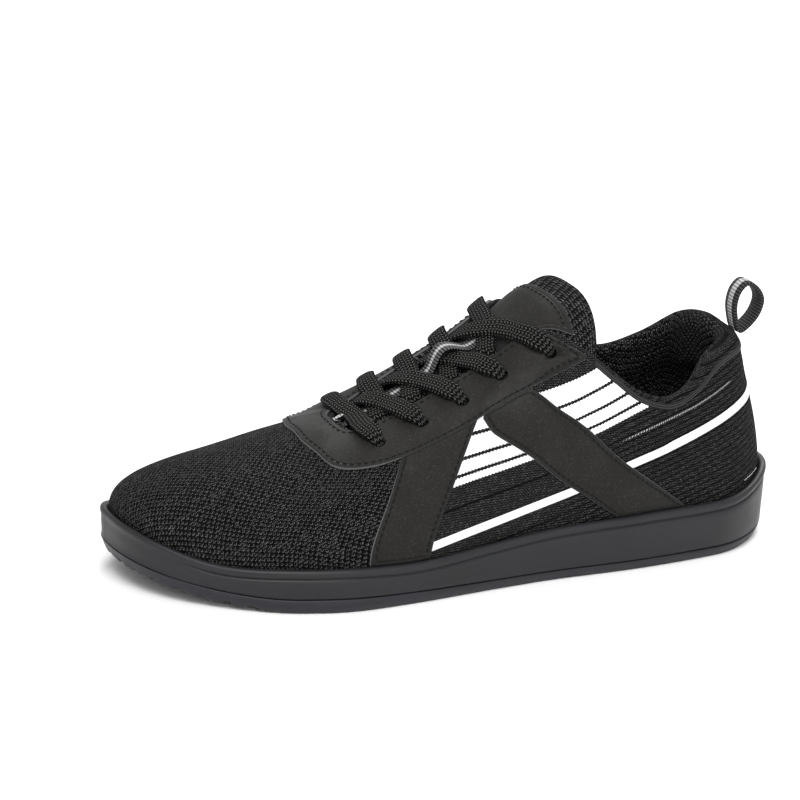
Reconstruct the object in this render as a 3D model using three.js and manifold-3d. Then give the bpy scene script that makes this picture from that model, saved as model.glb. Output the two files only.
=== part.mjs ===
// Barefoot trainer for the left foot: knitted upper on a thin cup sole.
// The toe points along -X, the heel along +X, the outer side along -Y.
// The sole rests on z = 0. Sizes are in millimetres.
import * as THREE from "three";
import Module from "manifold-3d";
import { mergeVertices } from "three/addons/utils/BufferGeometryUtils.js";

const wasm = await Module();
wasm.setup();

// Driving dimensions
const soleLength = 286;
const ballWidth = 106;
const instepHeight = 100;
const rimHeight = 24;
const toeSpring = 10;
const treadThickness = 5;
const soleUnderFoot = 9;
const lipWidth = 3.2;
const rimBead = 3.6;
const rimGroove = 1;
const bottomInset = 4;
const insoleThickness = 4;
const upperWall = 2.2;
const collarPadding = 8;
const fitGap = 0.3;
const overlayThickness = 1.2;
const sewnClearance = 0.45;
const laceHoleWidth = 5.5;
const laceWidth = 8.5;
const laceThickness = 1.8;
const tongueThickness = 4.5;
const loopWidth = 8.5;
const loopThickness = 1.5;
const loopHeight = 23.5;

// How finely the forms are cut into faces
const columns = 80;
const outlineSteps = 1200;

// Sole sections from heel (along 0) to toe (along 1). The sides are shares of
// ballWidth, rim of rimHeight, tread of treadThickness.
const soleRows = [
  { along: 0.0, lateral: 0.255, medial: 0.27, rim: 1.28, tread: 0.9 },
  { along: 0.1, lateral: 0.335, medial: 0.325, rim: 1.04, tread: 0.9 },
  { along: 0.25, lateral: 0.396, medial: 0.321, rim: 1.01, tread: 0.9 },
  { along: 0.4, lateral: 0.417, medial: 0.296, rim: 0.95, tread: 0.9 },
  { along: 0.5, lateral: 0.449, medial: 0.315, rim: 0.86, tread: 0.95 },
  { along: 0.62, lateral: 0.495, medial: 0.396, rim: 0.75, tread: 1.1 },
  { along: 0.72, lateral: 0.511, medial: 0.47, rim: 0.79, tread: 1.25 },
  { along: 0.8, lateral: 0.467, medial: 0.489, rim: 0.79, tread: 1.25 },
  { along: 0.9, lateral: 0.38, medial: 0.475, rim: 0.8, tread: 1.1 },
  { along: 1.0, lateral: 0.325, medial: 0.44, rim: 1.16, tread: 1.0 },
];
const heelCap = { length: 0.13, fullness: 2.1, tip: 0 };
const toeCap = { length: 0.22, fullness: 2.35, tip: 0.125 };
const toeLift = { from: 0.78, power: 2 };
const heelBevel = { length: 0.05, height: 1.2 };

// Sections of the upper, one row for each column that runs from the sole's edge to
// the topline. "at" is the share of the half outline from heel (0) to toe (1).
// The topline point is given by along (share of soleLength from the heel), out
// (share of ballWidth) and height (share of instepHeight) on each side; back, side
// and drop are the pull of the surface just below it, in the same shares. rise and
// flare shape the surface just above the sole's rim, pad is the share of
// collarPadding in the wall at the topline.
const upperRows = [
  { at: 0.0, along: 0.058, out: 0.0, height: 0.84, alongIn: 0.058, outIn: 0.0, heightIn: 0.84,
    back: -0.019, side: 0.0, drop: 0.22, rise: 0.22, flare: -0.02, pad: 1.0 },
  { at: 0.08, along: 0.082, out: 0.151, height: 0.845, alongIn: 0.076, outIn: 0.146, heightIn: 0.865,
    back: -0.014, side: 0.038, drop: 0.22, rise: 0.22, flare: -0.015, pad: 1.0 },
  { at: 0.16, along: 0.135, out: 0.255, height: 0.815, alongIn: 0.108, outIn: 0.255, heightIn: 0.84,
    back: -0.007, side: 0.057, drop: 0.2, rise: 0.24, flare: 0.0, pad: 0.9 },
  { at: 0.22, along: 0.175, out: 0.316, height: 0.745, alongIn: 0.158, outIn: 0.316, heightIn: 0.75,
    back: 0.0, side: 0.05, drop: 0.16, rise: 0.22, flare: 0.01, pad: 0.7 },
  { at: 0.28, along: 0.22, out: 0.344, height: 0.695, alongIn: 0.213, outIn: 0.349, heightIn: 0.7,
    back: 0.0, side: 0.045, drop: 0.15, rise: 0.22, flare: 0.015, pad: 0.5 },
  { at: 0.34, along: 0.269, out: 0.349, height: 0.735, alongIn: 0.269, outIn: 0.354, heightIn: 0.74,
    back: 0.01, side: 0.05, drop: 0.16, rise: 0.25, flare: 0.015, pad: 0.4 },
  { at: 0.4, along: 0.313, out: 0.335, height: 0.83, alongIn: 0.315, outIn: 0.335, heightIn: 0.83,
    back: 0.021, side: 0.07, drop: 0.18, rise: 0.28, flare: 0.015, pad: 0.3 },
  { at: 0.45, along: 0.353, out: 0.302, height: 0.925, alongIn: 0.36, outIn: 0.302, heightIn: 0.925,
    back: 0.025, side: 0.1, drop: 0.16, rise: 0.3, flare: 0.015, pad: 0.2 },
  { at: 0.49, along: 0.392, out: 0.245, height: 0.995, alongIn: 0.399, outIn: 0.245, heightIn: 0.985,
    back: 0.02, side: 0.13, drop: 0.14, rise: 0.3, flare: 0.015, pad: 0.1 },
  { at: 0.53, along: 0.427, out: 0.179, height: 0.98, alongIn: 0.434, outIn: 0.184, heightIn: 0.965,
    back: 0.015, side: 0.15, drop: 0.11, rise: 0.3, flare: 0.015, pad: 0.0 },
  { at: 0.59, along: 0.474, out: 0.153, height: 0.885, alongIn: 0.483, outIn: 0.165, heightIn: 0.88,
    back: 0.015, side: 0.15, drop: 0.09, rise: 0.28, flare: 0.02, pad: 0.0 },
  { at: 0.65, along: 0.53, out: 0.149, height: 0.8, alongIn: 0.535, outIn: 0.156, heightIn: 0.8,
    back: 0.02, side: 0.15, drop: 0.09, rise: 0.25, flare: 0.02, pad: 0.0 },
  { at: 0.71, along: 0.589, out: 0.143, height: 0.715, alongIn: 0.591, outIn: 0.146, heightIn: 0.715,
    back: 0.03, side: 0.16, drop: 0.09, rise: 0.22, flare: 0.02, pad: 0.0 },
  { at: 0.78, along: 0.649, out: 0.127, height: 0.63, alongIn: 0.649, outIn: 0.125, heightIn: 0.63,
    back: 0.06, side: 0.17, drop: 0.09, rise: 0.2, flare: 0.015, pad: 0.0 },
  { at: 0.84, along: 0.671, out: 0.094, height: 0.61, alongIn: 0.671, outIn: 0.094, heightIn: 0.62,
    back: 0.1, side: 0.14, drop: 0.085, rise: 0.19, flare: 0.01, pad: 0.0 },
  { at: 0.91, along: 0.678, out: 0.047, height: 0.615, alongIn: 0.678, outIn: 0.047, heightIn: 0.62,
    back: 0.14, side: 0.07, drop: 0.085, rise: 0.19, flare: 0.01, pad: 0.0 },
  { at: 1.0, along: 0.678, out: 0.0, height: 0.62, alongIn: 0.678, outIn: 0.0, heightIn: 0.62,
    back: 0.16, side: 0.0, drop: 0.09, rise: 0.21, flare: 0.01, pad: 0.0 },
];

// Smooth value of a named column between the rows of a table
function smoothRow(rows, key, name, at) {
  let i = 0;
  while (i < rows.length - 2 && rows[i + 1][key] < at) {
    i += 1;
  }
  const slopeAt = (k) => {
    const before = rows[Math.max(k - 1, 0)];
    const after = rows[Math.min(k + 1, rows.length - 1)];
    return (after[name] - before[name]) / (after[key] - before[key]);
  };
  const start = rows[i];
  const end = rows[i + 1];
  const span = end[key] - start[key];
  const u = Math.min(Math.max((at - start[key]) / span, 0), 1);
  const h = u * u * (3 - 2 * u);
  const startSlope = slopeAt(i) * span * u * (1 - u) * (1 - u);
  const endSlope = slopeAt(i + 1) * span * u * u * (1 - u);
  return start[name] * (1 - h) + end[name] * h + startSlope - endSlope;
}

const smoothStep = (from, to, value) => {
  const u = Math.min(Math.max((value - from) / (to - from), 0), 1);
  return u * u * (3 - 2 * u);
};
const mix = (a, b, share) => a + (b - a) * share;

// Outline of the sole at its widest, with a rounded heel and toe
function capShare(distance, cap) {
  const left = Math.max(1 - distance / cap.length, 0);
  return (1 - left ** cap.fullness) ** (1 / cap.fullness);
}

function rawOutline(along, side) {
  const name = side < 0 ? "lateral" : "medial";
  const full = side * smoothRow(soleRows, "along", name, along);
  const tip = along < 0.5 ? heelCap.tip : toeCap.tip;
  const cap = capShare(along, heelCap) * capShare(1 - along, toeCap);
  return new THREE.Vector2(soleLength * (0.5 - along), ballWidth * (tip + (full - tip) * cap));
}

const outlineLoop = [];
for (let k = 0; k < outlineSteps; k += 1) {
  const turn = (k / outlineSteps) * 2;
  const side = turn < 1 ? -1 : 1;
  const share = turn < 1 ? turn : 2 - turn;
  const along = (1 - Math.cos(Math.PI * share)) / 2;
  outlineLoop.push(rawOutline(along, side));
}
const outlineMiddle = (() => {
  const sides = outlineLoop.map((point) => point.y);
  return (Math.max(...sides) + Math.min(...sides)) / 2;
})();
outlineLoop.forEach((point) => {
  point.y -= outlineMiddle;
});
const outlineReach = [0];
for (let k = 0; k < outlineSteps; k += 1) {
  const next = outlineLoop[(k + 1) % outlineSteps];
  outlineReach.push(outlineReach[k] + next.distanceTo(outlineLoop[k]));
}
const toeReach = outlineReach[outlineSteps / 2];
const fullReach = outlineReach[outlineSteps];

// Point on the outline: share 0 is the heel, 0.5 the toe by the lateral side, 1 the
// heel again by the medial side
function outlineAt(share) {
  const turn = share - Math.floor(share);
  const side = turn * 2;
  const reach = side < 1 ? side * toeReach : toeReach + (side - 1) * (fullReach - toeReach);
  let low = 0;
  let high = outlineSteps;
  while (high - low > 1) {
    const half = Math.floor((low + high) / 2);
    if (outlineReach[half] <= reach) {
      low = half;
    } else {
      high = half;
    }
  }
  const u = (reach - outlineReach[low]) / (outlineReach[high] - outlineReach[low]);
  const start = outlineLoop[low];
  const end = outlineLoop[high % outlineSteps];
  return new THREE.Vector2(mix(start.x, end.x, u), mix(start.y, end.y, u));
}

const normalReach = 0.004;
function edgeAt(share) {
  const point = outlineAt(share);
  const before = outlineAt(share - normalReach);
  const after = outlineAt(share + normalReach);
  const outward = new THREE.Vector2(before.y - after.y, after.x - before.x);
  outward.normalize();
  return { point, outward, along: 0.5 - point.x / soleLength };
}

// Heights of the sole along the foot
const bottomAt = (along) => {
  const toe = Math.max(along - toeLift.from, 0) / (1 - toeLift.from);
  const heel = Math.max(heelBevel.length - along, 0) / heelBevel.length;
  return toeSpring * toe ** toeLift.power + heelBevel.height * heel ** 2;
};
const rimAt = (along) => rimHeight * smoothRow(soleRows, "along", "rim", along);
const floorAt = (along) => bottomAt(along) + soleUnderFoot;
const partingAt = (along) => {
  return bottomAt(along) + treadThickness * smoothRow(soleRows, "along", "tread", along);
};

// Point at an inset from the outline, at a height worked out along the foot
function insetPoint(share, inset, heightAt) {
  const edge = edgeAt(share);
  const x = edge.point.x - edge.outward.x * inset;
  const y = edge.point.y - edge.outward.y * inset;
  return new THREE.Vector3(x, y, heightAt(0.5 - x / soleLength));
}

// The outer surface of the upper. level runs from -1 at the floor of the cup to 0 at
// the sole's rim and 1 at the topline.
const cupInset = lipWidth + fitGap;
const sideBlend = 0.06;
const padded = { from: 0.35, to: 0.85 };
function rowAt(share) {
  const turn = share - Math.floor(share);
  const medial = turn > 0.5;
  const at = medial ? 2 - 2 * turn : 2 * turn;
  const value = (name) => smoothRow(upperRows, "at", name, at);
  const fromMiddle = Math.min(at, 1 - at);
  const blend = smoothStep(-sideBlend, sideBlend, medial ? fromMiddle : -fromMiddle);
  const along = mix(value("along"), value("alongIn"), blend);
  const out = mix(value("out"), value("outIn"), blend);
  const height = mix(value("height"), value("heightIn"), blend);
  const side = medial ? 1 : -1;
  return { along, out, height, side, value };
}

function upperPoint(share, level) {
  const edge = edgeAt(share);
  const x = edge.point.x - edge.outward.x * cupInset;
  const y = edge.point.y - edge.outward.y * cupInset;
  const along = 0.5 - x / soleLength;
  const rim = rimAt(along);
  if (level <= 0) {
    return new THREE.Vector3(x, y, mix(rim, floorAt(along) + fitGap, -level));
  }
  const row = rowAt(share);
  const top = new THREE.Vector3(
    soleLength * (0.5 - row.along),
    row.side * ballWidth * row.out,
    instepHeight * row.height,
  );
  const flare = ballWidth * row.value("flare");
  const start = new THREE.Vector3(x, y, rim);
  const startPull = new THREE.Vector3(
    x + edge.outward.x * flare,
    y + edge.outward.y * flare,
    rim + instepHeight * row.value("rise"),
  );
  const endPull = new THREE.Vector3(
    top.x - soleLength * row.value("back"),
    top.y + row.side * ballWidth * row.value("side"),
    top.z - instepHeight * row.value("drop"),
  );
  return new THREE.CubicBezierCurve3(start, startPull, endPull, top).getPoint(level);
}

const slopeStep = 0.004;
const levelStep = 0.012;
function upperNormal(share, level) {
  const low = Math.max(level - levelStep, level > 0 ? 0 : -1);
  const high = Math.min(level + levelStep, level > 0 ? 1 : 0);
  const up = upperPoint(share, high).sub(upperPoint(share, low));
  const round = upperPoint(share + slopeStep, level).sub(upperPoint(share - slopeStep, level));
  return up.cross(round).normalize();
}

// Point at a distance outside (or, if negative, inside) the upper's outer surface
function upperOffset(share, level, distance) {
  return upperPoint(share, level).addScaledVector(upperNormal(share, level), distance);
}

function wallAt(share, level) {
  const padding = collarPadding * rowAt(share).value("pad");
  return upperWall + padding * smoothStep(padded.from, padded.to, level);
}

// Closed solids from rings of points
function solidFrom(points, faces) {
  const geometry = new THREE.BufferGeometry();
  const positions = points.flatMap((point) => [point.x, point.y, point.z]);
  let volume = 0;
  for (const [a, b, c] of faces) {
    volume += points[a].dot(new THREE.Vector3().crossVectors(points[b], points[c]));
  }
  const index = volume < 0 ? faces.flatMap(([a, b, c]) => [a, c, b]) : faces.flat();
  geometry.setAttribute("position", new THREE.Float32BufferAttribute(positions, 3));
  geometry.setIndex(index);
  return geometry;
}

// Faces between rings of points. The last ring joins the first where looped is true;
// otherwise each end is closed straight across from side to side.
function ringSolid(rings, looped) {
  const count = rings[0].length;
  const faces = [];
  const bands = looped ? rings.length : rings.length - 1;
  for (let j = 0; j < bands; j += 1) {
    const low = j * count;
    const high = ((j + 1) % rings.length) * count;
    for (let i = 0; i < count; i += 1) {
      const next = (i + 1) % count;
      faces.push([low + i, low + next, high + next]);
      faces.push([low + i, high + next, high + i]);
    }
  }
  if (!looped) {
    addAcross(faces, 0, count, true);
    addAcross(faces, (rings.length - 1) * count, count, false);
  }
  return solidFrom(rings.flat(), faces);
}

function addAcross(faces, first, count, flipped) {
  const push = (a, b, c) => {
    faces.push(flipped ? [first + a, first + c, first + b] : [first + a, first + b, first + c]);
  };
  const half = count / 2;
  for (let i = 0; i < half; i += 1) {
    const near = i;
    const nearNext = i + 1;
    const far = (count - i) % count;
    const farNext = count - i - 1;
    if (far !== near) {
      push(near, farNext, far);
    }
    if (farNext !== nearNext) {
      push(near, nearNext, farNext);
    }
  }
}

const ringOf = (pointAt) => Array.from({ length: columns }, (_, i) => pointAt(i / columns));

// Flex grooves across the tread, from along, as shares of soleLength, and notches in
// the tread's edge at the toe, as shares of the outline
const grooves = { width: 2.6, depth: 1.5, edge: 11, heelFrom: 0.08, heelTo: 0.24, heelCount: 4 };
const frontGrooves = { from: 0.56, to: 0.92, count: 8 };
const toeNotches = { from: 0.42, to: 0.57, count: 6, size: 3 };

function sideAt(along, side) {
  const raw = rawOutline(along, side);
  return raw.y - outlineMiddle;
}

function groovePin(along) {
  const near = sideAt(along, -1) + grooves.edge;
  const far = sideAt(along, 1) - grooves.edge;
  const pin = new THREE.BoxGeometry(grooves.width, far - near, grooves.depth * 2);
  pin.translate(soleLength * (0.5 - along), (near + far) / 2, bottomAt(along));
  return toSolid(pin);
}

function notchPin(share) {
  const foot = insetPoint(share, bottomInset, bottomAt);
  const pin = new THREE.BoxGeometry(toeNotches.size, toeNotches.size, grooves.depth * 2);
  pin.rotateZ(Math.PI / 4);
  pin.translate(foot.x, foot.y, foot.z);
  return toSolid(pin);
}

function spread(from, to, count) {
  return Array.from({ length: count }, (_, i) => mix(from, to, i / (count - 1)));
}

function cutTread(geometry) {
  const places = [
    ...spread(grooves.heelFrom, grooves.heelTo, grooves.heelCount),
    ...spread(frontGrooves.from, frontGrooves.to, frontGrooves.count),
  ];
  let solid = toSolid(geometry);
  for (const along of places) {
    solid = solid.subtract(groovePin(along));
  }
  for (const share of spread(toeNotches.from, toeNotches.to, toeNotches.count)) {
    solid = solid.subtract(notchPin(share));
  }
  return toGeometry(solid);
}

// Sections of the sole's pieces, outside in. inset is measured from the outline and
// raise from the named height.
const wallMiddle = 0.4;
const shelfInset = 3;
const partingInset = 1.7;
const treadInset = 2.2;
const heightsFrom = {
  bottom: bottomAt,
  parting: partingAt,
  seam: (along) => partingAt(along) + fitGap,
  wall: (along) => mix(partingAt(along), rimAt(along), wallMiddle),
  rim: rimAt,
  floor: floorAt,
  footbed: (along) => floorAt(along) + fitGap,
};
const outsoleSection = [
  { inset: shelfInset, from: "parting", raise: 0 },
  { inset: partingInset, from: "parting", raise: -0.1 },
  { inset: treadInset, from: "bottom", raise: 1.6 },
  { inset: bottomInset, from: "bottom", raise: 0 },
];
const midsoleSection = [
  { inset: shelfInset, from: "seam", raise: 0 },
  { inset: partingInset, from: "seam", raise: 0.1 },
  { inset: 0.9, from: "wall", raise: 0 },
  { inset: 0.6, from: "rim", raise: -rimBead - rimGroove },
  { inset: rimGroove + 0.3, from: "rim", raise: -rimBead - 0.3 },
  { inset: 0.2, from: "rim", raise: 0.5 - rimBead },
  { inset: 0, from: "rim", raise: -rimBead * 0.55 },
  { inset: 0.6, from: "rim", raise: -0.6 },
  { inset: lipWidth * 0.5, from: "rim", raise: 0 },
  { inset: lipWidth, from: "rim", raise: -0.5 },
  { inset: lipWidth, from: "floor", raise: 0 },
];
const insoleInset = lipWidth + fitGap + upperWall + fitGap + 0.4;
const insoleSection = [
  { inset: insoleInset + 0.6, from: "footbed", raise: 0 },
  { inset: insoleInset, from: "footbed", raise: 0.5 },
  { inset: insoleInset, from: "footbed", raise: insoleThickness - 0.8 },
  { inset: insoleInset + 1.2, from: "footbed", raise: insoleThickness },
];

function solePiece(section) {
  const rings = section.map((row) => ringOf((share) => {
    return insetPoint(share, row.inset, (along) => heightsFrom[row.from](along) + row.raise);
  }));
  return ringSolid(rings, false);
}

// Upper
const outerLevels = [-1, 0, 0.08, 0.18, 0.29, 0.41, 0.53, 0.65, 0.77, 0.89, 1];
const innerLevels = [0.9, 0.74, 0.55, 0.34, 0.05, -1];
const rimTurns = [0.25, 0.5, 0.75];

// The rounded rim of the topline, from its outer (turn 0) to its inner side (turn 1)
function toplineRim(share, turn) {
  const level = 1;
  const half = wallAt(share, level) / 2;
  const normal = upperNormal(share, level);
  const below = upperPoint(share, level - levelStep);
  const up = upperPoint(share, level).sub(below).normalize();
  const angle = Math.PI * turn;
  return upperPoint(share, level)
    .addScaledVector(normal, -half * (1 - Math.cos(angle)))
    .addScaledVector(up, half * Math.sin(angle));
}

function buildUpper() {
  const rings = outerLevels.map((level) => ringOf((share) => upperPoint(share, level)));
  for (const turn of rimTurns) {
    rings.push(ringOf((share) => toplineRim(share, turn)));
  }
  for (const level of innerLevels) {
    rings.push(ringOf((share) => upperOffset(share, level, -wallAt(share, level))));
  }
  return cutLaceHoles(ringSolid(rings, true));
}

// Lower edge of the eyestay: the level on the upper at each share of the half outline
const stayRows = [
  { at: 0.45, level: 0.955 },
  { at: 0.48, level: 0.79 },
  { at: 0.511, level: 0.655 },
  { at: 0.571, level: 0.602 },
  { at: 0.626, level: 0.58 },
  { at: 0.674, level: 0.568 },
  { at: 0.711, level: 0.58 },
  { at: 0.758, level: 0.65 },
  { at: 0.838, level: 0.8 },
  { at: 0.92, level: 0.85 },
  { at: 1.0, level: 0.865 },
];
const stayTop = 0.985;
const stayCorner = stayRows[0].at;
const stayColumns = 44;
const stayBands = 3;

// Lace holes from the toe end, as a share of the half outline and a level. edge is the
// share at which the throat's edge lies abreast of the hole, and rise the one at which
// the lace comes up from under that edge again.
const laceHoles = [
  { at: 0.733, level: 0.758, edge: 0.789, rise: 0.757 },
  { at: 0.677, level: 0.764, edge: 0.713, rise: 0.705 },
  { at: 0.621, level: 0.772, edge: 0.651, rise: 0.65 },
  { at: 0.561, level: 0.794, edge: 0.589, rise: 0.59 },
  { at: 0.494, level: 0.877, edge: 0.506, rise: 0.5 },
];

// Straps from the eyestay down to the rim: the two edges of each strap
const seamGap = 0.008;
const rimClearance = 0.014;
const strapThickness = overlayThickness * 0.75;
const frontStrapRows = [
  { down: 0.0, frontAt: 0.674, frontLevel: 0.57, rearAt: 0.573, rearLevel: 0.6 },
  { down: 0.5, frontAt: 0.65, frontLevel: 0.305, rearAt: 0.56, rearLevel: 0.3 },
  { down: 1.0, frontAt: 0.643, frontLevel: 0.0, rearAt: 0.562, rearLevel: 0.0 },
];
const rearStrapRows = [
  { down: 0.0, frontAt: 0.566, frontLevel: 0.6, rearAt: 0.503, rearLevel: 0.68 },
  { down: 0.12, frontAt: 0.526, frontLevel: 0.485, rearAt: 0.464, rearLevel: 0.648 },
  { down: 0.35, frontAt: 0.447, frontLevel: 0.37, rearAt: 0.394, rearLevel: 0.605 },
  { down: 0.7, frontAt: 0.367, frontLevel: 0.187, rearAt: 0.303, rearLevel: 0.36 },
  { down: 1.0, frontAt: 0.308, frontLevel: 0.0, rearAt: 0.211, rearLevel: 0.0 },
];

// Sheets: a grid of points with a thickness, closed round its border
function sheetFaces(rows, bands) {
  const faces = [];
  for (let i = 0; i < rows; i += 1) {
    for (let j = 0; j < bands; j += 1) {
      const a = i * (bands + 1) + j;
      const b = a + bands + 1;
      faces.push([a, b, b + 1]);
      faces.push([a, b + 1, a + 1]);
    }
  }
  return faces;
}

function sheetSolid(outer, inner, faces) {
  const count = outer.length;
  const all = faces.map((face) => [...face]);
  const borders = new Map();
  for (const [a, b, c] of faces) {
    all.push([a + count, c + count, b + count]);
    for (const [from, to] of [[a, b], [b, c], [c, a]]) {
      if (!borders.delete(`${to} ${from}`)) {
        borders.set(`${from} ${to}`, [from, to]);
      }
    }
  }
  for (const [from, to] of borders.values()) {
    all.push([from, from + count, to + count]);
    all.push([from, to + count, to]);
  }
  return solidFrom([...outer, ...inner], all);
}

// A patch laid on the upper, between two offsets from its outer surface
function patchOnUpper(rows, bands, placeAt, base, thickness) {
  const outer = [];
  const inner = [];
  for (let i = 0; i <= rows; i += 1) {
    for (let j = 0; j <= bands; j += 1) {
      const place = placeAt(i / rows, j / bands);
      outer.push(upperOffset(place.share, place.level, base + thickness));
      inner.push(upperOffset(place.share, place.level, base));
    }
  }
  return sheetSolid(outer, inner, sheetFaces(rows, bands));
}

// Manifold solids for cuts and joins
function toSolid(geometry) {
  const bare = geometry.clone();
  bare.deleteAttribute("normal");
  bare.deleteAttribute("uv");
  const merged = mergeVertices(bare, 1e-5);
  return new wasm.Manifold(new wasm.Mesh({
    numProp: 3,
    vertProperties: new Float32Array(merged.attributes.position.array),
    triVerts: new Uint32Array(merged.index.array),
  }));
}

function toGeometry(solid) {
  const made = solid.getMesh();
  const geometry = new THREE.BufferGeometry();
  geometry.setAttribute("position", new THREE.BufferAttribute(made.vertProperties, 3));
  geometry.setIndex(new THREE.BufferAttribute(made.triVerts, 1));
  return geometry;
}

const halfAt = (share) => (share > 0.5 ? 2 - 2 * share : 2 * share);
const shareOn = (side, at) => (side < 0 ? at / 2 : 1 - at / 2);
const stayEdge = (share) => smoothRow(stayRows, "at", "level", halfAt(share));

// Pins that stand through the upper and the eyestay where the lace holes are
const holeSides = 8;
const holeReach = 14;
function holePin(side, hole) {
  const share = shareOn(side, hole.at);
  const pin = new THREE.CylinderGeometry(laceHoleWidth / 2, laceHoleWidth / 2, holeReach, holeSides);
  const turn = new THREE.Quaternion().setFromUnitVectors(
    new THREE.Vector3(0, 1, 0),
    upperNormal(share, hole.level),
  );
  pin.applyQuaternion(turn);
  const middle = upperPoint(share, hole.level);
  pin.translate(middle.x, middle.y, middle.z);
  return toSolid(pin);
}

function cutLaceHoles(geometry) {
  let solid = toSolid(geometry);
  for (const side of [-1, 1]) {
    for (const hole of laceHoles) {
      solid = solid.subtract(holePin(side, hole));
    }
  }
  return toGeometry(solid);
}

function buildEyestay() {
  const start = stayCorner / 2;
  const place = (u, v) => {
    const share = mix(start, 1 - start, u);
    return { share, level: mix(stayEdge(share), stayTop, v) };
  };
  return cutLaceHoles(patchOnUpper(stayColumns, stayBands, place, fitGap, overlayThickness));
}

function buildStrap(side, rows, steps, bands) {
  const place = (u, v) => {
    const value = (name) => smoothRow(rows, "down", name, u);
    const share = shareOn(side, mix(value("frontAt"), value("rearAt"), v));
    const level = mix(value("frontLevel"), value("rearLevel"), v);
    const top = stayEdge(share) - seamGap;
    return { share, level: u === 0 ? top : Math.max(Math.min(level, top), rimClearance) };
  };
  return patchOnUpper(steps, bands, place, sewnClearance, strapThickness);
}

// Tongue: a padded sheet that lies under the edges of the throat and bulges between
// them. crown is the rise of its middle, in shares of instepHeight; lean makes the
// inner side higher and twist moves the outer side back.
const tongueRows = [
  { at: 0.42, crown: 0.285 },
  { at: 0.445, crown: 0.22 },
  { at: 0.47, crown: 0.145 },
  { at: 0.495, crown: 0.085 },
  { at: 0.53, crown: 0.035 },
  { at: 0.59, crown: 0.02 },
  { at: 1.0, crown: 0.01 },
];
const tongueStart = tongueRows[0].at / 2;
const tongueSteps = 16;
const tongueLevels = [0.84, 0.92, 1];
const tongueAcross = 8;
const tongueFullness = 2.8;
const tongueLean = 0.15;
const tongueTwist = 0.25;
const tongueClearance = fitGap * 2.5;

function tongueEdge(share, level) {
  return upperOffset(share, level, -wallAt(share, level) - tongueClearance);
}

function tonguePoint(at, across) {
  const near = tongueEdge(at / 2, 1);
  const far = tongueEdge(1 - at / 2, 1);
  const crown = instepHeight * smoothRow(tongueRows, "at", "crown", at);
  const inward = 2 * across - 1;
  const bulge = crown * (1 - Math.abs(inward) ** tongueFullness);
  const middle = near.clone().lerp(far, across);
  middle.x -= bulge * tongueTwist * inward;
  middle.z += bulge * (1 + tongueLean * inward);
  return middle;
}

function tongueSheet() {
  const points = [];
  const faces = [];
  const strip = [];
  const last = tongueSteps * 2;
  for (let k = 0; k <= last; k += 1) {
    const share = mix(tongueStart, 1 - tongueStart, k / last);
    strip.push(tongueLevels.map((level) => points.push(tongueEdge(share, level)) - 1));
  }
  for (let k = 0; k < last; k += 1) {
    for (let r = 0; r < tongueLevels.length - 1; r += 1) {
      faces.push([strip[k][r], strip[k + 1][r], strip[k + 1][r + 1]]);
      faces.push([strip[k][r], strip[k + 1][r + 1], strip[k][r + 1]]);
    }
  }
  const inner = tongueLevels.length - 1;
  const rung = (k) => {
    const at = mix(tongueStart, 0.5, k / tongueSteps) * 2;
    const line = [strip[k][inner]];
    for (let j = 1; j < tongueAcross; j += 1) {
      line.push(points.push(tonguePoint(at, j / tongueAcross)) - 1);
    }
    line.push(strip[last - k][inner]);
    return line;
  };
  let line = rung(0);
  for (let k = 1; k < tongueSteps; k += 1) {
    const next = rung(k);
    for (let j = 0; j < tongueAcross; j += 1) {
      faces.push([line[j], next[j], next[j + 1]]);
      faces.push([line[j], next[j + 1], line[j + 1]]);
    }
    line = next;
  }
  const front = strip[tongueSteps][inner];
  for (let j = 0; j < tongueAcross; j += 1) {
    faces.push([line[j], front, line[j + 1]]);
  }
  return { points, faces };
}

function sheetNormals(points, faces) {
  const normals = points.map(() => new THREE.Vector3());
  for (const [a, b, c] of faces) {
    const along = points[b].clone().sub(points[a]);
    const turn = along.cross(points[c].clone().sub(points[a]));
    for (const corner of [a, b, c]) {
      normals[corner].add(turn);
    }
  }
  return normals.map((normal) => normal.normalize());
}

function buildTongue() {
  const { points, faces } = tongueSheet();
  const normals = sheetNormals(points, faces);
  const up = normals[Math.floor(points.length / 2)].z > 0 ? 1 : -1;
  const under = points.map((point, i) => {
    return point.clone().addScaledVector(normals[i], -up * tongueThickness);
  });
  return sheetSolid(points, under, faces);
}

// Outward direction of the tongue between the two throat edges
function tongueUp(at, across) {
  const step = 0.01;
  const along = tonguePoint(at + step, across).sub(tonguePoint(at - step, across));
  const wide = tonguePoint(at, across + step).sub(tonguePoint(at, across - step));
  const up = along.cross(wide).normalize();
  return up.z < 0 ? up.negate() : up;
}

function tongueOffset(at, across, distance) {
  return tonguePoint(at, across).addScaledVector(tongueUp(at, across), distance);
}

// Panel on the top of the tongue, counted in the tongue's own rungs
const panel = { from: 2, to: 4, near: 1, far: tongueAcross - 1, thickness: 0.7 };
function buildTonguePanel() {
  const rows = (panel.to - panel.from) * 2;
  const bands = panel.far - panel.near;
  const outer = [];
  const inner = [];
  for (let i = 0; i <= rows; i += 1) {
    for (let j = 0; j <= bands; j += 1) {
      const rung = panel.from + i / 2;
      const at = 2 * mix(tongueStart, 0.5, rung / tongueSteps);
      const across = (panel.near + j) / tongueAcross;
      outer.push(tongueOffset(at, across, sewnClearance + panel.thickness));
      inner.push(tongueOffset(at, across, sewnClearance));
    }
  }
  return sheetSolid(outer, inner, sheetFaces(rows, bands));
}

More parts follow.
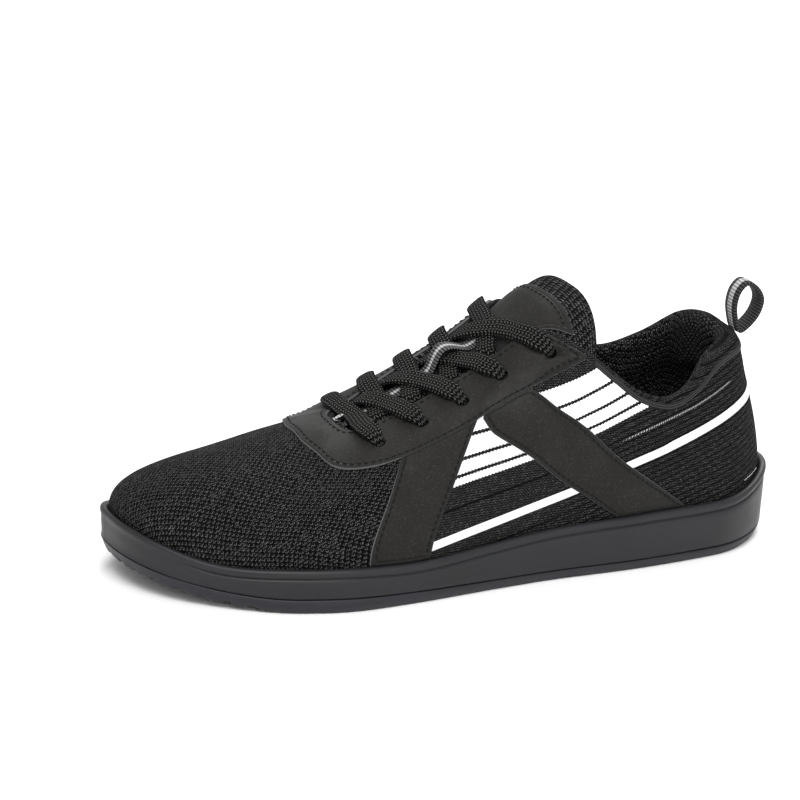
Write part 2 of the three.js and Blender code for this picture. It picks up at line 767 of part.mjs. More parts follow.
// Bands: a flat section swept along a route, with its own upward direction
const bandSection = [[1, 0], [0.78, 1], [-0.78, 1], [-1, 0], [-0.78, -1], [0.78, -1]];
function bandSolid(stations, thickness) {
  const points = [];
  const faces = [];
  const count = bandSection.length;
  stations.forEach((station, i) => {
    const before = stations[Math.max(i - 1, 0)].point;
    const after = stations[Math.min(i + 1, stations.length - 1)].point;
    const along = after.clone().sub(before).normalize();
    const across = along.clone().cross(station.up).normalize();
    const up = across.clone().cross(along).normalize();
    for (const [wide, high] of bandSection) {
      points.push(station.point.clone()
        .addScaledVector(across, wide * station.width / 2)
        .addScaledVector(up, high * thickness / 2));
    }
  });
  for (let i = 0; i < stations.length - 1; i += 1) {
    for (let k = 0; k < count; k += 1) {
      const a = i * count + k;
      const b = i * count + ((k + 1) % count);
      faces.push([a, b, b + count]);
      faces.push([a, b + count, a + count]);
    }
  }
  const end = (stations.length - 1) * count;
  for (let k = 1; k < count - 1; k += 1) {
    faces.push([0, k + 1, k]);
    faces.push([end, end + k, end + k + 1]);
  }
  return solidFrom(points, faces);
}

// Flat lace. A strand rises at one throat edge, crosses the tongue and ends in a hole
// on the other side. Heights are measured from the tongue or the upper.
const ribbonThickness = 0.8;
const laceOnStay = fitGap + overlayThickness + fitGap * 4 + laceThickness / 2;
const laceOnTongue = sewnClearance * 3 + ribbonThickness + laceThickness / 2;
const laceUnderArch = fitGap * 2 + laceThickness / 2;
const laceEndWidth = 4.6;
const laceFootWidth = laceWidth * 0.7;
const laceStep = 2;
const strandOverlap = 0.2;
const archedCross = 2;
// A crossing's course in shares: inward is its start across the tongue, middle and over
// the way to the next hole
const crossing = { inward: 0.13, middle: 0.38, over: 0.72, edgeLevel: 0.97 };
const barLift = 0.6;

function strandRoute(points, ups, widths) {
  const curve = new THREE.CatmullRomCurve3(points, false, "centripetal");
  const steps = (points.length - 1) * laceStep;
  return Array.from({ length: steps + 1 }, (_, i) => {
    const place = i / laceStep;
    const low = Math.min(Math.floor(place), points.length - 2);
    const u = place - low;
    return {
      point: curve.getPoint(i / steps),
      up: ups[low].clone().lerp(ups[low + 1], u).normalize(),
      width: mix(widths[low], widths[low + 1], u),
    };
  });
}

function overStay(side, at, level) {
  const share = shareOn(side, at);
  return {
    point: upperOffset(share, level, laceOnStay),
    up: upperNormal(share, level),
  };
}

function crossStrand(index, side, lift) {
  const bed = index === archedCross ? laceUnderArch : laceOnTongue;
  const from = laceHoles[index].rise;
  const hole = laceHoles[index + 1];
  const rise = side < 0 ? 1 - crossing.inward : crossing.inward;
  const middleAt = mix(from, hole.edge, crossing.middle);
  const up = tongueUp(middleAt, 0.5);
  const start = tongueOffset(from, rise, bed);
  const middle = tongueOffset(middleAt, 0.5, bed + lift);
  const edge = overStay(side, mix(from, hole.edge, crossing.over), crossing.edgeLevel);
  const end = overStay(side, hole.at, hole.level);
  const points = [start, middle, edge.point, end.point];
  const ups = [tongueUp(from, rise), up, edge.up, end.up];
  const widths = [laceFootWidth, laceWidth, laceWidth, laceEndWidth];
  return bandSolid(strandRoute(points, ups, widths), laceThickness);
}

function buildCross(index) {
  const lift = laceThickness - strandOverlap;
  const over = toSolid(crossStrand(index, -1, lift));
  const under = toSolid(crossStrand(index, 1, 0));
  return toGeometry(over.add(under));
}

function buildLaceBar() {
  const hole = laceHoles[0];
  const lateral = overStay(-1, hole.at, hole.level);
  const medial = overStay(1, hole.at, hole.level);
  const nearEdge = overStay(-1, hole.edge, crossing.edgeLevel);
  const farEdge = overStay(1, hole.edge, crossing.edgeLevel);
  const middle = tongueOffset(hole.edge, 0.5, laceOnTongue + barLift);
  const points = [lateral.point, nearEdge.point, middle, farEdge.point, medial.point];
  const ups = [lateral.up, nearEdge.up, tongueUp(hole.edge, 0.5), farEdge.up, medial.up];
  const widths = [laceEndWidth, laceWidth, laceWidth, laceWidth, laceEndWidth];
  return bandSolid(strandRoute(points, ups, widths), laceThickness);
}

// Ribbon along the middle of the tongue, arched over the third crossing
const ribbon = { from: 0.57, to: 0.86, across: 0.54, width: 8, steps: 22 };
const ribbonArch = { middle: 0.63, reach: 0.036, height: 6.6 };
function buildRibbon() {
  const stations = Array.from({ length: ribbon.steps + 1 }, (_, i) => {
    const at = mix(ribbon.from, ribbon.to, i / ribbon.steps);
    const far = Math.min(Math.abs(at - ribbonArch.middle) / ribbonArch.reach, 1);
    const arch = ribbonArch.height * (1 - far * far) ** 2;
    return {
      point: tongueOffset(at, ribbon.across, sewnClearance * 2 + ribbonThickness / 2 + arch),
      up: tongueUp(at, ribbon.across),
      width: ribbon.width,
    };
  });
  return bandSolid(stations, ribbonThickness);
}

// Pull loop: a ribbon bent into a drop, standing on the heel's collar. Places are
// shares of loopHeight from its foot.
const loopRows = [
  { back: 0.0, up: 0.0 },
  { back: -0.1, up: 0.27 },
  { back: -0.12, up: 0.5 },
  { back: -0.05, up: 0.74 },
  { back: 0.09, up: 0.86 },
  { back: 0.26, up: 0.79 },
  { back: 0.4, up: 0.56 },
  { back: 0.33, up: 0.28 },
  { back: 0.12, up: 0.05 },
];
const loopSteps = 28;
const loopFootTurn = 0.1;
const loopSeat = 0.1;
function buildPullLoop() {
  const foot = toplineRim(0, loopFootTurn);
  const clear = (loopSeat + loopThickness / 2) * Math.SQRT1_2;
  foot.x += clear;
  foot.z += clear;
  const route = loopRows.map((row) => {
    return new THREE.Vector3(foot.x + loopHeight * row.back, 0, foot.z + loopHeight * row.up);
  });
  const curve = new THREE.CatmullRomCurve3(route, true, "centripetal");
  const rings = [];
  for (const [side, out] of [[-1, -1], [-1, 1], [1, 1], [1, -1]]) {
    rings.push(Array.from({ length: loopSteps }, (_, i) => {
      const point = curve.getPoint(i / loopSteps);
      const along = curve.getTangent(i / loopSteps);
      const outward = new THREE.Vector3(-along.z, 0, along.x);
      point.addScaledVector(outward, out * loopThickness / 2);
      point.y = side * loopWidth / 2;
      return point;
    }));
  }
  return ringSolid(rings, true);
}

function mesh(name, geometry, color, roughness) {
  const material = new THREE.MeshStandardMaterial({ color, roughness, metalness: 0 });
  geometry.computeVertexNormals();
  const made = new THREE.Mesh(geometry, material);
  made.name = name;
  return made;
}

const shoe = new THREE.Group();
shoe.add(mesh("outsole", cutTread(solePiece(outsoleSection)), 0x232427, 0.6));
shoe.add(mesh("midsole", solePiece(midsoleSection), 0x2a2b2e, 0.5));
shoe.add(mesh("insole", solePiece(insoleSection), 0x151516, 0.9));
shoe.add(mesh("upper", buildUpper(), 0x191919, 0.95));
shoe.add(mesh("eyestay", buildEyestay(), 0x2b2a29, 0.8));
for (const [side, name] of [[-1, "lateral"], [1, "medial"]]) {
  shoe.add(mesh(`strap_front_${name}`, buildStrap(side, frontStrapRows, 8, 4), 0x2b2a29, 0.8));
  shoe.add(mesh(`strap_rear_${name}`, buildStrap(side, rearStrapRows, 14, 4), 0x2b2a29, 0.8));
}
shoe.add(mesh("tongue", buildTongue(), 0x161616, 0.95));
shoe.add(mesh("tongue_panel", buildTonguePanel(), 0x2b2a29, 0.8));
shoe.add(mesh("tongue_ribbon", buildRibbon(), 0x3a3a3a, 0.7));
shoe.add(mesh("lace_bar", buildLaceBar(), 0x111111, 0.9));
for (let index = 0; index < laceHoles.length - 1; index += 1) {
  shoe.add(mesh(`lace_cross_${index + 1}`, buildCross(index), 0x111111, 0.9));
}
shoe.add(mesh("pull_loop", buildPullLoop(), 0x1d1d1d, 0.8));

export default shoe;
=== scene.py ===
import math
import bpy
import numpy as np
from mathutils import Matrix, Vector


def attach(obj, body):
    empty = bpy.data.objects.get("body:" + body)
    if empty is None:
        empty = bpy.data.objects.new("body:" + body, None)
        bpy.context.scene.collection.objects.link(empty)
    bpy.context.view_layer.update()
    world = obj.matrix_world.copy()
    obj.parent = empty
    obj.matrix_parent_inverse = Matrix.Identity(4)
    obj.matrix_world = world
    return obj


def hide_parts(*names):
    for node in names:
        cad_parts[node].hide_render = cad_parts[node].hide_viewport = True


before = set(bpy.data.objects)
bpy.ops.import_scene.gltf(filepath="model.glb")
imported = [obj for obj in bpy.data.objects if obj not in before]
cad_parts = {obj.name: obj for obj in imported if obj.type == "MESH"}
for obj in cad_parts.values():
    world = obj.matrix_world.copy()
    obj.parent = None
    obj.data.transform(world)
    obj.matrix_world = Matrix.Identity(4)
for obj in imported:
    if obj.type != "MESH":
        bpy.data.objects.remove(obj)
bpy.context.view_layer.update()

mm = 0.001
fullTurn = 2 * math.pi
print("frame loaded")

# Camera at the photograph's angle; focal length and picture size in pixels of 800
camera = {
    "target": (-23.87 * mm, 0.0, 68.26 * mm), "azimuth": -24.5, "elevation": 18.6, "roll": 3.0,
    "distance": 1.8, "focal": 4491.2, "picture": 800, "sensor": 36.0, "reach": 60,
}
studio = {
    "floorSize": 14.0, "floorColour": (0.9, 0.9, 0.9), "skyColour": (1.0, 1.0, 1.0), "skyStrength": 0.76,
    "lampAim": (0, 0, 0.04),
}
lamps = [
    {"name": "keySoftbox", "place": (-0.5, -0.9, 1.5), "size": (1.1, 0.8), "power": 26.0},
    {"name": "rearSoftbox", "place": (0.7, 0.9, 1.2), "size": (0.9, 0.7), "power": 16.0},
    {"name": "sideStrip", "place": (0.1, -1.4, 0.5), "size": (0.9, 0.4), "power": 5.0},
]


def addObject(name, data):
    holder = bpy.data.objects.new(name, data)
    bpy.context.collection.objects.link(holder)
    return holder


def makeCamera():
    azimuth, elevation, roll = (math.radians(camera[name]) for name in ("azimuth", "elevation", "roll"))
    back = Vector((math.sin(azimuth) * math.cos(elevation), -math.cos(azimuth) * math.cos(elevation),
                   math.sin(elevation)))
    right = Vector((0, 0, 1)).cross(back).normalized()
    up = back.cross(right)
    rolledRight = right * math.cos(roll) + up * math.sin(roll)
    rolledUp = up * math.cos(roll) - right * math.sin(roll)
    data = bpy.data.cameras.new("photoCamera")
    data.sensor_width = camera["sensor"]
    data.lens = camera["focal"] / camera["picture"] * camera["sensor"]
    data.clip_end = camera["reach"]
    holder = addObject("photoCamera", data)
    turned = Matrix((rolledRight, rolledUp, back)).transposed().to_4x4()
    turned.translation = Vector(camera["target"]) + back * camera["distance"]
    holder.matrix_world = turned
    bpy.context.scene.camera = holder


def makeStudio():
    world = bpy.data.worlds.new("studioSky")
    world.use_nodes = True
    sky = world.node_tree.nodes["Background"].inputs
    sky["Color"].default_value = (*studio["skyColour"], 1)
    sky["Strength"].default_value = studio["skyStrength"]
    bpy.context.scene.world = world
    bpy.context.scene.view_settings.view_transform = "Standard"
    for lamp in lamps:
        data = bpy.data.lights.new(lamp["name"], "AREA")
        data.shape = "RECTANGLE"
        data.size, data.size_y = lamp["size"]
        data.energy = lamp["power"]
        holder = addObject(lamp["name"], data)
        holder.location = lamp["place"]
        aim = Vector(studio["lampAim"]) - Vector(lamp["place"])
        holder.rotation_euler = aim.to_track_quat("-Z", "Y").to_euler()


makeCamera()
makeStudio()
print("camera and lights set")


# Form of the shoe. Sizes in metres, tables as shares of them, a column for each name
size = {
    "length": 286 * mm, "width": 106 * mm, "instep": 100 * mm, "rim": 24 * mm, "toeSpring": 10 * mm,
    "tread": 5 * mm, "underFoot": 9 * mm, "lip": 3.2 * mm, "bead": 3.6 * mm,
    "bottomInset": 4 * mm, "insole": 4 * mm, "wall": 2.2 * mm, "padding": 8 * mm, "gap": 0.3 * mm,
    "overlay": 1.2 * mm, "tongue": 4.5 * mm,
}
soleShape = {
    "along": [0, 0.1, 0.25, 0.4, 0.5, 0.62, 0.72, 0.8, 0.9, 1],
    "lateral": [0.255, 0.335, 0.396, 0.417, 0.449, 0.495, 0.511, 0.467, 0.38, 0.325],
    "medial": [0.27, 0.325, 0.321, 0.296, 0.315, 0.396, 0.47, 0.489, 0.475, 0.44],
    "rim": [1.28, 1.04, 1.01, 0.95, 0.86, 0.75, 0.79, 0.79, 0.8, 1.16],
    "tread": [0.9, 0.9, 0.9, 0.9, 0.95, 1.1, 1.25, 1.25, 1.1, 1.0],
}
heelCap = {"length": 0.13, "fullness": 2.1, "tip": 0.0}
toeCap = {"length": 0.22, "fullness": 2.35, "tip": 0.125}
toeLift = {"from": 0.78, "power": 2}
heelBevel = {"length": 0.05, "height": 1.2 * mm}
upperShape = {
    "at": [0, 0.08, 0.16, 0.22, 0.28, 0.34, 0.4, 0.45, 0.49, 0.53, 0.59, 0.65, 0.71, 0.78, 0.84, 0.91, 1],
    "along": [0.058, 0.082, 0.135, 0.175, 0.22, 0.269, 0.313, 0.353, 0.392, 0.427, 0.474, 0.53, 0.589,
              0.649, 0.671, 0.678, 0.678],
    "out": [0, 0.151, 0.255, 0.316, 0.344, 0.349, 0.335, 0.302, 0.245, 0.179, 0.153, 0.149, 0.143,
            0.127, 0.094, 0.047, 0],
    "height": [0.84, 0.845, 0.815, 0.745, 0.695, 0.735, 0.83, 0.925, 0.995, 0.98, 0.885, 0.8, 0.715,
               0.63, 0.61, 0.615, 0.62],
    "alongIn": [0.058, 0.076, 0.108, 0.158, 0.213, 0.269, 0.315, 0.36, 0.399, 0.434, 0.483, 0.535, 0.591,
                0.649, 0.671, 0.678, 0.678],
    "outIn": [0, 0.146, 0.255, 0.316, 0.349, 0.354, 0.335, 0.302, 0.245, 0.184, 0.165, 0.156, 0.146,
              0.125, 0.094, 0.047, 0],
    "heightIn": [0.84, 0.865, 0.84, 0.75, 0.7, 0.74, 0.83, 0.925, 0.985, 0.965, 0.88, 0.8, 0.715,
                 0.63, 0.62, 0.62, 0.62],
    "back": [-0.019, -0.014, -0.007, 0, 0, 0.01, 0.021, 0.025, 0.02, 0.015, 0.015, 0.02, 0.03,
             0.06, 0.1, 0.14, 0.16],
    "side": [0, 0.038, 0.057, 0.05, 0.045, 0.05, 0.07, 0.1, 0.13, 0.15, 0.15, 0.15, 0.16,
             0.17, 0.14, 0.07, 0],
    "drop": [0.22, 0.22, 0.2, 0.16, 0.15, 0.16, 0.18, 0.16, 0.14, 0.11, 0.09, 0.09, 0.09,
             0.09, 0.085, 0.085, 0.09],
    "rise": [0.22, 0.22, 0.24, 0.22, 0.22, 0.25, 0.28, 0.3, 0.3, 0.3, 0.28, 0.25, 0.22,
             0.2, 0.19, 0.19, 0.21],
    "flare": [-0.02, -0.015, 0, 0.01, 0.015, 0.015, 0.015, 0.015, 0.015, 0.015, 0.02, 0.02, 0.02,
              0.015, 0.01, 0.01, 0.01],
    "pad": [1, 1, 0.9, 0.7, 0.5, 0.4, 0.3, 0.2, 0.1, 0, 0, 0, 0, 0, 0, 0, 0],
}
padded = {"from": 0.35, "to": 0.85}
outlineSteps = 2400
shareStep = 0.004
levelStep = 0.012
sideBlend = 0.06


def ease(u):
    return u * u * (3 - 2 * u)


def smoothStep(start, end, value):
    return ease(np.clip((np.asarray(value, float) - start) / (end - start), 0, 1))


# Cubic from value i to the next one, with a slope at each
def cubic(values, slopes, i, span, u):
    rises = slopes[i] * span * u * (1 - u) ** 2 - slopes[i + 1] * span * u * u * (1 - u)
    return values[i] * (1 - ease(u)) + values[i + 1] * ease(u) + rises


def smoothRow(table, key, name, at):
    keys, values = np.array(table[key], float), np.array(table[name], float)
    at = np.clip(np.asarray(at, float), keys[0], keys[-1])
    i = np.clip(np.searchsorted(keys, at, side="left") - 1, 0, len(keys) - 2)
    before = np.maximum(np.arange(len(keys)) - 1, 0)
    after = np.minimum(np.arange(len(keys)) + 1, len(keys) - 1)
    slopes = (values[after] - values[before]) / (keys[after] - keys[before])
    span = keys[i + 1] - keys[i]
    return cubic(values, slopes, i, span, (at - keys[i]) / span)


def mix(a, b, share):
    return a + (b - a) * share


def points3(x, y, z):
    return np.stack(np.broadcast_arrays(x, y, z), -1)


def unit(vectors):
    return vectors / np.maximum(np.linalg.norm(vectors, axis=-1, keepdims=True), 1e-12)


# Distance run along an axis of a grid or a list of points
def arcGrid(points, axis=0):
    steps = np.linalg.norm(np.diff(points, axis=axis), axis=-1)
    first = np.zeros_like(np.take(steps, [0], axis=axis))
    return np.concatenate([first, np.cumsum(steps, axis=axis)], axis=axis)


def pointsAt(at, run, points):
    return np.stack([np.interp(at, run, points[:, k]) for k in range(points.shape[1])], -1)


def capShare(distance, cap):
    left = np.maximum(1 - distance / cap["length"], 0)
    return (1 - left ** cap["fullness"]) ** (1 / cap["fullness"])


def rawOutline(along, side):
    lateral, medial = (smoothRow(soleShape, "along", name, along) for name in ("lateral", "medial"))
    full = np.where(side < 0, -lateral, medial)
    tip = np.where(along < 0.5, heelCap["tip"], toeCap["tip"])
    cap = capShare(along, heelCap) * capShare(1 - along, toeCap)
    return np.stack([size["length"] * (0.5 - along), size["width"] * (tip + (full - tip) * cap)], -1)


def makeOutline():
    turn = np.arange(outlineSteps) / outlineSteps * 2
    share = np.where(turn < 1, turn, 2 - turn)
    loop = rawOutline((1 - np.cos(np.pi * share)) / 2, np.where(turn < 1, -1, 1))
    loop[:, 1] -= (loop[:, 1].max() + loop[:, 1].min()) / 2
    loop = np.vstack([loop, loop[:1]])
    return loop, arcGrid(loop)


outlineLoop, outlineReach = makeOutline()
toeReach, fullReach = outlineReach[outlineSteps // 2], outlineReach[-1]


# Outline of the sole: share 0 at the heel, 0.5 at the toe by the lateral side, 1 back at the heel
def outlineAt(share):
    side = (np.asarray(share, float) % 1) * 2
    reach = np.where(side < 1, side * toeReach, toeReach + (side - 1) * (fullReach - toeReach))
    return pointsAt(reach, outlineReach, outlineLoop)


def edgeAt(share):
    before, after = outlineAt(share - shareStep), outlineAt(share + shareStep)
    outward = np.stack([before[..., 1] - after[..., 1], after[..., 0] - before[..., 0]], -1)
    return outlineAt(share), unit(outward)


def bottomAt(along):
    toe = np.maximum(along - toeLift["from"], 0) / (1 - toeLift["from"])
    heel = np.maximum(heelBevel["length"] - along, 0) / heelBevel["length"]
    return size["toeSpring"] * toe ** toeLift["power"] + heelBevel["height"] * heel ** 2


def rimAt(along):
    return size["rim"] * smoothRow(soleShape, "along", "rim", along)


def floorAt(along):
    return bottomAt(along) + size["underFoot"]


def partingAt(along):
    return bottomAt(along) + size["tread"] * smoothRow(soleShape, "along", "tread", along)


def insetPoint(share, inset, heightAt):
    edge, outward = edgeAt(share)
    place = edge - outward * np.asarray(inset)[..., None]
    return points3(place[..., 0], place[..., 1], heightAt(0.5 - place[..., 0] / size["length"]))


def halfAt(share):
    turn = np.asarray(share, float) % 1
    return np.where(turn > 0.5, 2 - 2 * turn, 2 * turn)


def rowAt(share):
    medial = (np.asarray(share, float) % 1) > 0.5
    at = halfAt(share)
    near = np.minimum(at, 1 - at)
    blend = smoothStep(-sideBlend, sideBlend, np.where(medial, near, -near))

    def column(name):
        return smoothRow(upperShape, "at", name, at)

    along, out, height = (mix(column(name), column(name + "In"), blend)
                          for name in ("along", "out", "height"))
    return along, out, height, np.where(medial, 1.0, -1.0), column


# Outer surface of the upper: level -1 at the cup's floor, 0 at the rim, 1 at the topline
def upperPoint(share, level):
    share, level = np.broadcast_arrays(np.asarray(share, float), np.asarray(level, float))
    edge, outward = edgeAt(share)
    foot = edge - outward * (size["lip"] + size["gap"])
    x, y = foot[..., 0], foot[..., 1]
    rim = rimAt(0.5 - x / size["length"])
    along, out, height, side, column = rowAt(share)
    top = points3(size["length"] * (0.5 - along), side * size["width"] * out, size["instep"] * height)
    flare = size["width"] * column("flare")
    start = points3(x, y, rim)
    startPull = points3(x + outward[..., 0] * flare, y + outward[..., 1] * flare,
                        rim + size["instep"] * column("rise"))
    endPull = top + points3(-size["length"] * column("back"), side * size["width"] * column("side"),
                            -size["instep"] * column("drop"))
    u = np.clip(level, 0, 1)[..., None]
    point = (start * (1 - u) ** 3 + 3 * startPull * u * (1 - u) ** 2 + 3 * endPull * u * u * (1 - u)
             + top * u ** 3)
    sunk = floorAt(0.5 - x / size["length"]) + size["gap"] - rim
    point[..., 2] += np.where(level < 0, -level * sunk, 0)
    return point


def upperNormal(share, level):
    share, level = np.broadcast_arrays(np.asarray(share, float), np.asarray(level, float))
    low = np.maximum(level - levelStep, np.where(level > 0, 0, -1))
    high = np.minimum(level + levelStep, np.where(level > 0, 1, 0))
    up = upperPoint(share, high) - upperPoint(share, low)
    around = upperPoint(share + shareStep, level) - upperPoint(share - shareStep, level)
    return unit(np.cross(up, around))


# Soft troughs and ridges worn or lasted into the upper: ends as share and level
creases = [
    {"start": (0.395, 0.10), "end": (0.372, 0.62), "width": 9 * mm, "depth": 0.9 * mm},
    {"start": (0.418, 0.16), "end": (0.402, 0.55), "width": 7 * mm, "depth": 0.55 * mm},
    {"start": (0.612, 0.10), "end": (0.632, 0.6), "width": 9 * mm, "depth": 0.9 * mm},
    {"start": (0.47, 0.62), "end": (0.53, 0.62), "width": 9 * mm, "depth": 0.7 * mm},
    {"start": (0.13, 0.66), "end": (0.035, 0.74), "width": 6 * mm, "depth": 0.9 * mm},
    {"start": (0.87, 0.66), "end": (0.965, 0.74), "width": 6 * mm, "depth": 0.9 * mm},
    {"start": (0.2, 0.55), "end": (0.215, 0.85), "width": 6 * mm, "depth": 0.5 * mm},
]
creaseLook = {"ridge": 0.7, "fullLevel": 0.08}


def creaseDepth(points):
    depth = np.zeros(points.shape[:-1])
    for crease in creases:
        start, end = (upperPoint(*crease[name]) for name in ("start", "end"))
        run = end - start
        share = np.clip((points - start) @ run / (run @ run), 0, 1)
        far = np.linalg.norm(points - start - share[..., None] * run, axis=-1) / crease["width"]
        depth += crease["depth"] * (1 - creaseLook["ridge"] * far ** 2) * np.exp(-far ** 2)
    return depth


def onUpper(share, level, distance=0.0):
    point = upperPoint(share, level)
    raised = distance - creaseDepth(point) * smoothStep(0.0, creaseLook["fullLevel"], level)
    return point + upperNormal(share, level) * np.asarray(raised)[..., None]


def wallAt(share, level):
    pad = rowAt(share)[4]("pad") * smoothStep(padded["from"], padded["to"], level)
    return size["wall"] + size["padding"] * pad


def toplineRim(share, turn):
    normal = upperNormal(share, 1.0)
    up = unit(upperPoint(share, 1.0) - upperPoint(share, 1 - levelStep))
    half = (wallAt(share, 1.0) / 2)[..., None]
    angle = np.pi * turn
    return onUpper(share, 1.0) - normal * half * (1 - np.cos(angle)) + up * half * np.sin(angle)


# Meshes from grids of points
def makeMesh(name, points, faces, uvs):
    data = bpy.data.meshes.new(name)
    points = np.asarray(points, float).reshape(-1, 3)
    sides = np.concatenate([np.full(len(group), group.shape[1]) for group in faces])
    corners = np.concatenate([group.ravel() for group in faces])
    data.vertices.add(len(points))
    data.vertices.foreach_set("co", points.ravel())
    data.loops.add(len(corners))
    data.loops.foreach_set("vertex_index", corners.astype(np.int32))
    data.polygons.add(len(sides))
    data.polygons.foreach_set("loop_start", (np.cumsum(sides) - sides).astype(np.int32))
    data.update(calc_edges=True)
    for label, groups in uvs.items():
        layer = data.uv_layers.new(name=label)
        layer.data.foreach_set("uv", np.concatenate([group.reshape(-1, 2) for group in groups]).ravel())
    data.validate()
    data.polygons.foreach_set("use_smooth", np.ones(len(data.polygons), bool))
    return addObject(name, data)


def gridFaces(rows, cols, first=0, wrapRows=False, wrapCols=False, flipped=False):
    i, j = np.meshgrid(np.arange(rows if wrapRows else rows - 1), np.arange(cols if wrapCols else cols - 1),
                       indexing="ij")
    nextI, nextJ = (i + 1) % rows, (j + 1) % cols
    quads = np.stack([i * cols + j, i * cols + nextJ, nextI * cols + nextJ, nextI * cols + j], -1) + first
    corners = (np.stack([i, i, i + 1, i + 1], -1), np.stack([j, j + 1, j + 1, j], -1))
    if flipped:
        quads, corners = quads[..., ::-1], tuple(index[..., ::-1] for index in corners)
    return quads.reshape(-1, 4), tuple(index.reshape(-1, 4) for index in corners)


def pickUv(grid, corners):
    return grid[corners[0], corners[1]]


# Walls and the two end faces of a tube, and the walls' places in its grid
def tubeFaces(rings, sides, first=0):
    walls, corners = gridFaces(rings, sides, first=first, wrapCols=True)
    ring = np.arange(sides) + first
    return walls, np.array([ring[::-1], ring + (rings - 1) * sides]), corners


def faceOut(holder):
    data = holder.data
    data.calc_loop_triangles()
    places = np.empty(len(data.vertices) * 3)
    data.vertices.foreach_get("co", places)
    triangles = np.empty(len(data.loop_triangles) * 3, np.int32)
    data.loop_triangles.foreach_get("vertices", triangles)
    a, b, c = places.reshape(-1, 3)[triangles.reshape(-1, 3)].transpose(1, 0, 2)
    if np.einsum("ij,ij->i", a, np.cross(b, c)).sum() < 0:
        data.flip_normals()
    return holder


# A closed shell between an outer and an inner grid of the same shape
def shellPiece(name, outer, inner, uvGrids):
    rows, cols = outer.shape[:2]
    count = rows * cols
    top, topCorners = gridFaces(rows, cols)
    under, underCorners = gridFaces(rows, cols, first=count, flipped=True)
    ring = np.array([(0, j) for j in range(cols)] + [(i, cols - 1) for i in range(1, rows)]
                    + [(rows - 1, j) for j in range(cols - 2, -1, -1)]
                    + [(i, 0) for i in range(rows - 2, 0, -1)])
    after = np.roll(ring, -1, axis=0)
    a, b = ring[:, 0] * cols + ring[:, 1], after[:, 0] * cols + after[:, 1]
    wall = np.stack([b, a, a + count, b + count], -1)
    wallCorners = tuple(np.stack([after[:, k], ring[:, k], ring[:, k], after[:, k]], -1) for k in (0, 1))
    uvs = {label: [pickUv(grid, corners) for corners in (topCorners, underCorners, wallCorners)]
           for label, grid in uvGrids.items()}
    points = np.concatenate([outer.reshape(-1, 3), inner.reshape(-1, 3)])
    return faceOut(makeMesh(name, points, [top, under, wall], uvs))


def edgeDistance(points):
    rowArc, colArc = arcGrid(points, 0), arcGrid(points, 1)
    return np.minimum.reduce([rowArc, rowArc[-1:] - rowArc, colArc, colArc[:, -1:] - colArc])


def roundShare(distance, radius):
    left = 1 - np.clip(distance / radius, 0, 1)
    return np.sqrt(np.maximum(1 - left ** 2, 0))


def edgeSpaced(count, close=(0, 0.003, 0.008, 0.016, 0.03)):
    close = np.array(close)
    return np.concatenate([close, np.linspace(0.045, 0.955, count), 1 - close[::-1]])


def dress(piece, material, slot, *nodes):
    for each in material if isinstance(material, (list, tuple)) else [material]:
        piece.data.materials.append(each)
    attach(piece, "root")
    if nodes:
        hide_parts(*nodes)
    return piece


# Each named input gets a number, a colour or another node's output
def feed(inputs, values):
    for name, value in values.items():
        if isinstance(value, Field):
            value.socket.id_data.links.new(value.socket, inputs[name])
        else:
            inputs[name].default_value = (*value, 1) if isinstance(value, tuple) else value


def outputsOf(node):
    fields = [Field(socket) for socket in node.outputs]
    return {field.socket.name: field for field in fields} | dict(enumerate(fields))


def put(tree, kind, inputs=None, **settings):
    made = tree.nodes.new("ShaderNode" + kind)
    for name, value in settings.items():
        setattr(made, name, value)
    feed(made.inputs, inputs or {})
    return outputsOf(made)


# A shader value: what is added to it or taken from it becomes a Math node of its own tree
class Field:
    def __init__(self, socket):
        self.socket = socket

    def calc(self, operation, other=0.0, swapped=False):
        inputs = {0: other, 1: self} if swapped else {0: self, 1: other}
        return put(self.socket.id_data, "Math", inputs, operation=operation)[0]

    def __add__(self, other):
        return self.calc("ADD", other)

    def __sub__(self, other):
        return self.calc("SUBTRACT", other)

    def __rsub__(self, other):
        return self.calc("SUBTRACT", other, swapped=True)

    def __mul__(self, other):
        return self.calc("MULTIPLY", other)

    def __truediv__(self, other):
        return self.calc("DIVIDE", other)

    def __rtruediv__(self, other):
        return self.calc("DIVIDE", other, swapped=True)

    def parts(self):
        return put(self.socket.id_data, "SeparateXYZ", {0: self})


def ramp(value, low, high, toLow=0.0, toHigh=1.0):
    inputs = {"Value": value, "From Min": low, "From Max": high, "To Min": toLow, "To Max": toHigh}
    return put(value.socket.id_data, "MapRange", inputs, interpolation_type="SMOOTHSTEP")[0]


def blend(factor, a, b):
    return put(factor.socket.id_data, "Mix", {0: factor, 6: a, 7: b}, data_type="RGBA")[2]


def addBump(height, strength, distance, below=None):
    inputs = {"Height": height, "Strength": strength, "Distance": distance}
    if below is not None:
        inputs["Normal"] = below
    return put(height.socket.id_data, "Bump", inputs)[0]


# A group's inputs by name: a number is its default, and None stands for a vector
def startGroup(name, inputs, outputs):
    tree = bpy.data.node_groups.new(name, "ShaderNodeTree")
    for label, value in inputs.items():
        kind = "NodeSocketVector" if value is None else "NodeSocketFloat"
        socket = tree.interface.new_socket(name=label, in_out="INPUT", socket_type=kind)
        if value is not None:
            socket.default_value = value
    for label in outputs:
        tree.interface.new_socket(name=label, in_out="OUTPUT", socket_type="NodeSocketFloat")
    return tree, outputsOf(tree.nodes.new("NodeGroupInput")), tree.nodes.new("NodeGroupOutput").inputs


knitLook = {"driftScale": 180.0, "wander": 0.22, "slant": 1.6, "gapFade": 0.12, "glintScale": 1500.0}
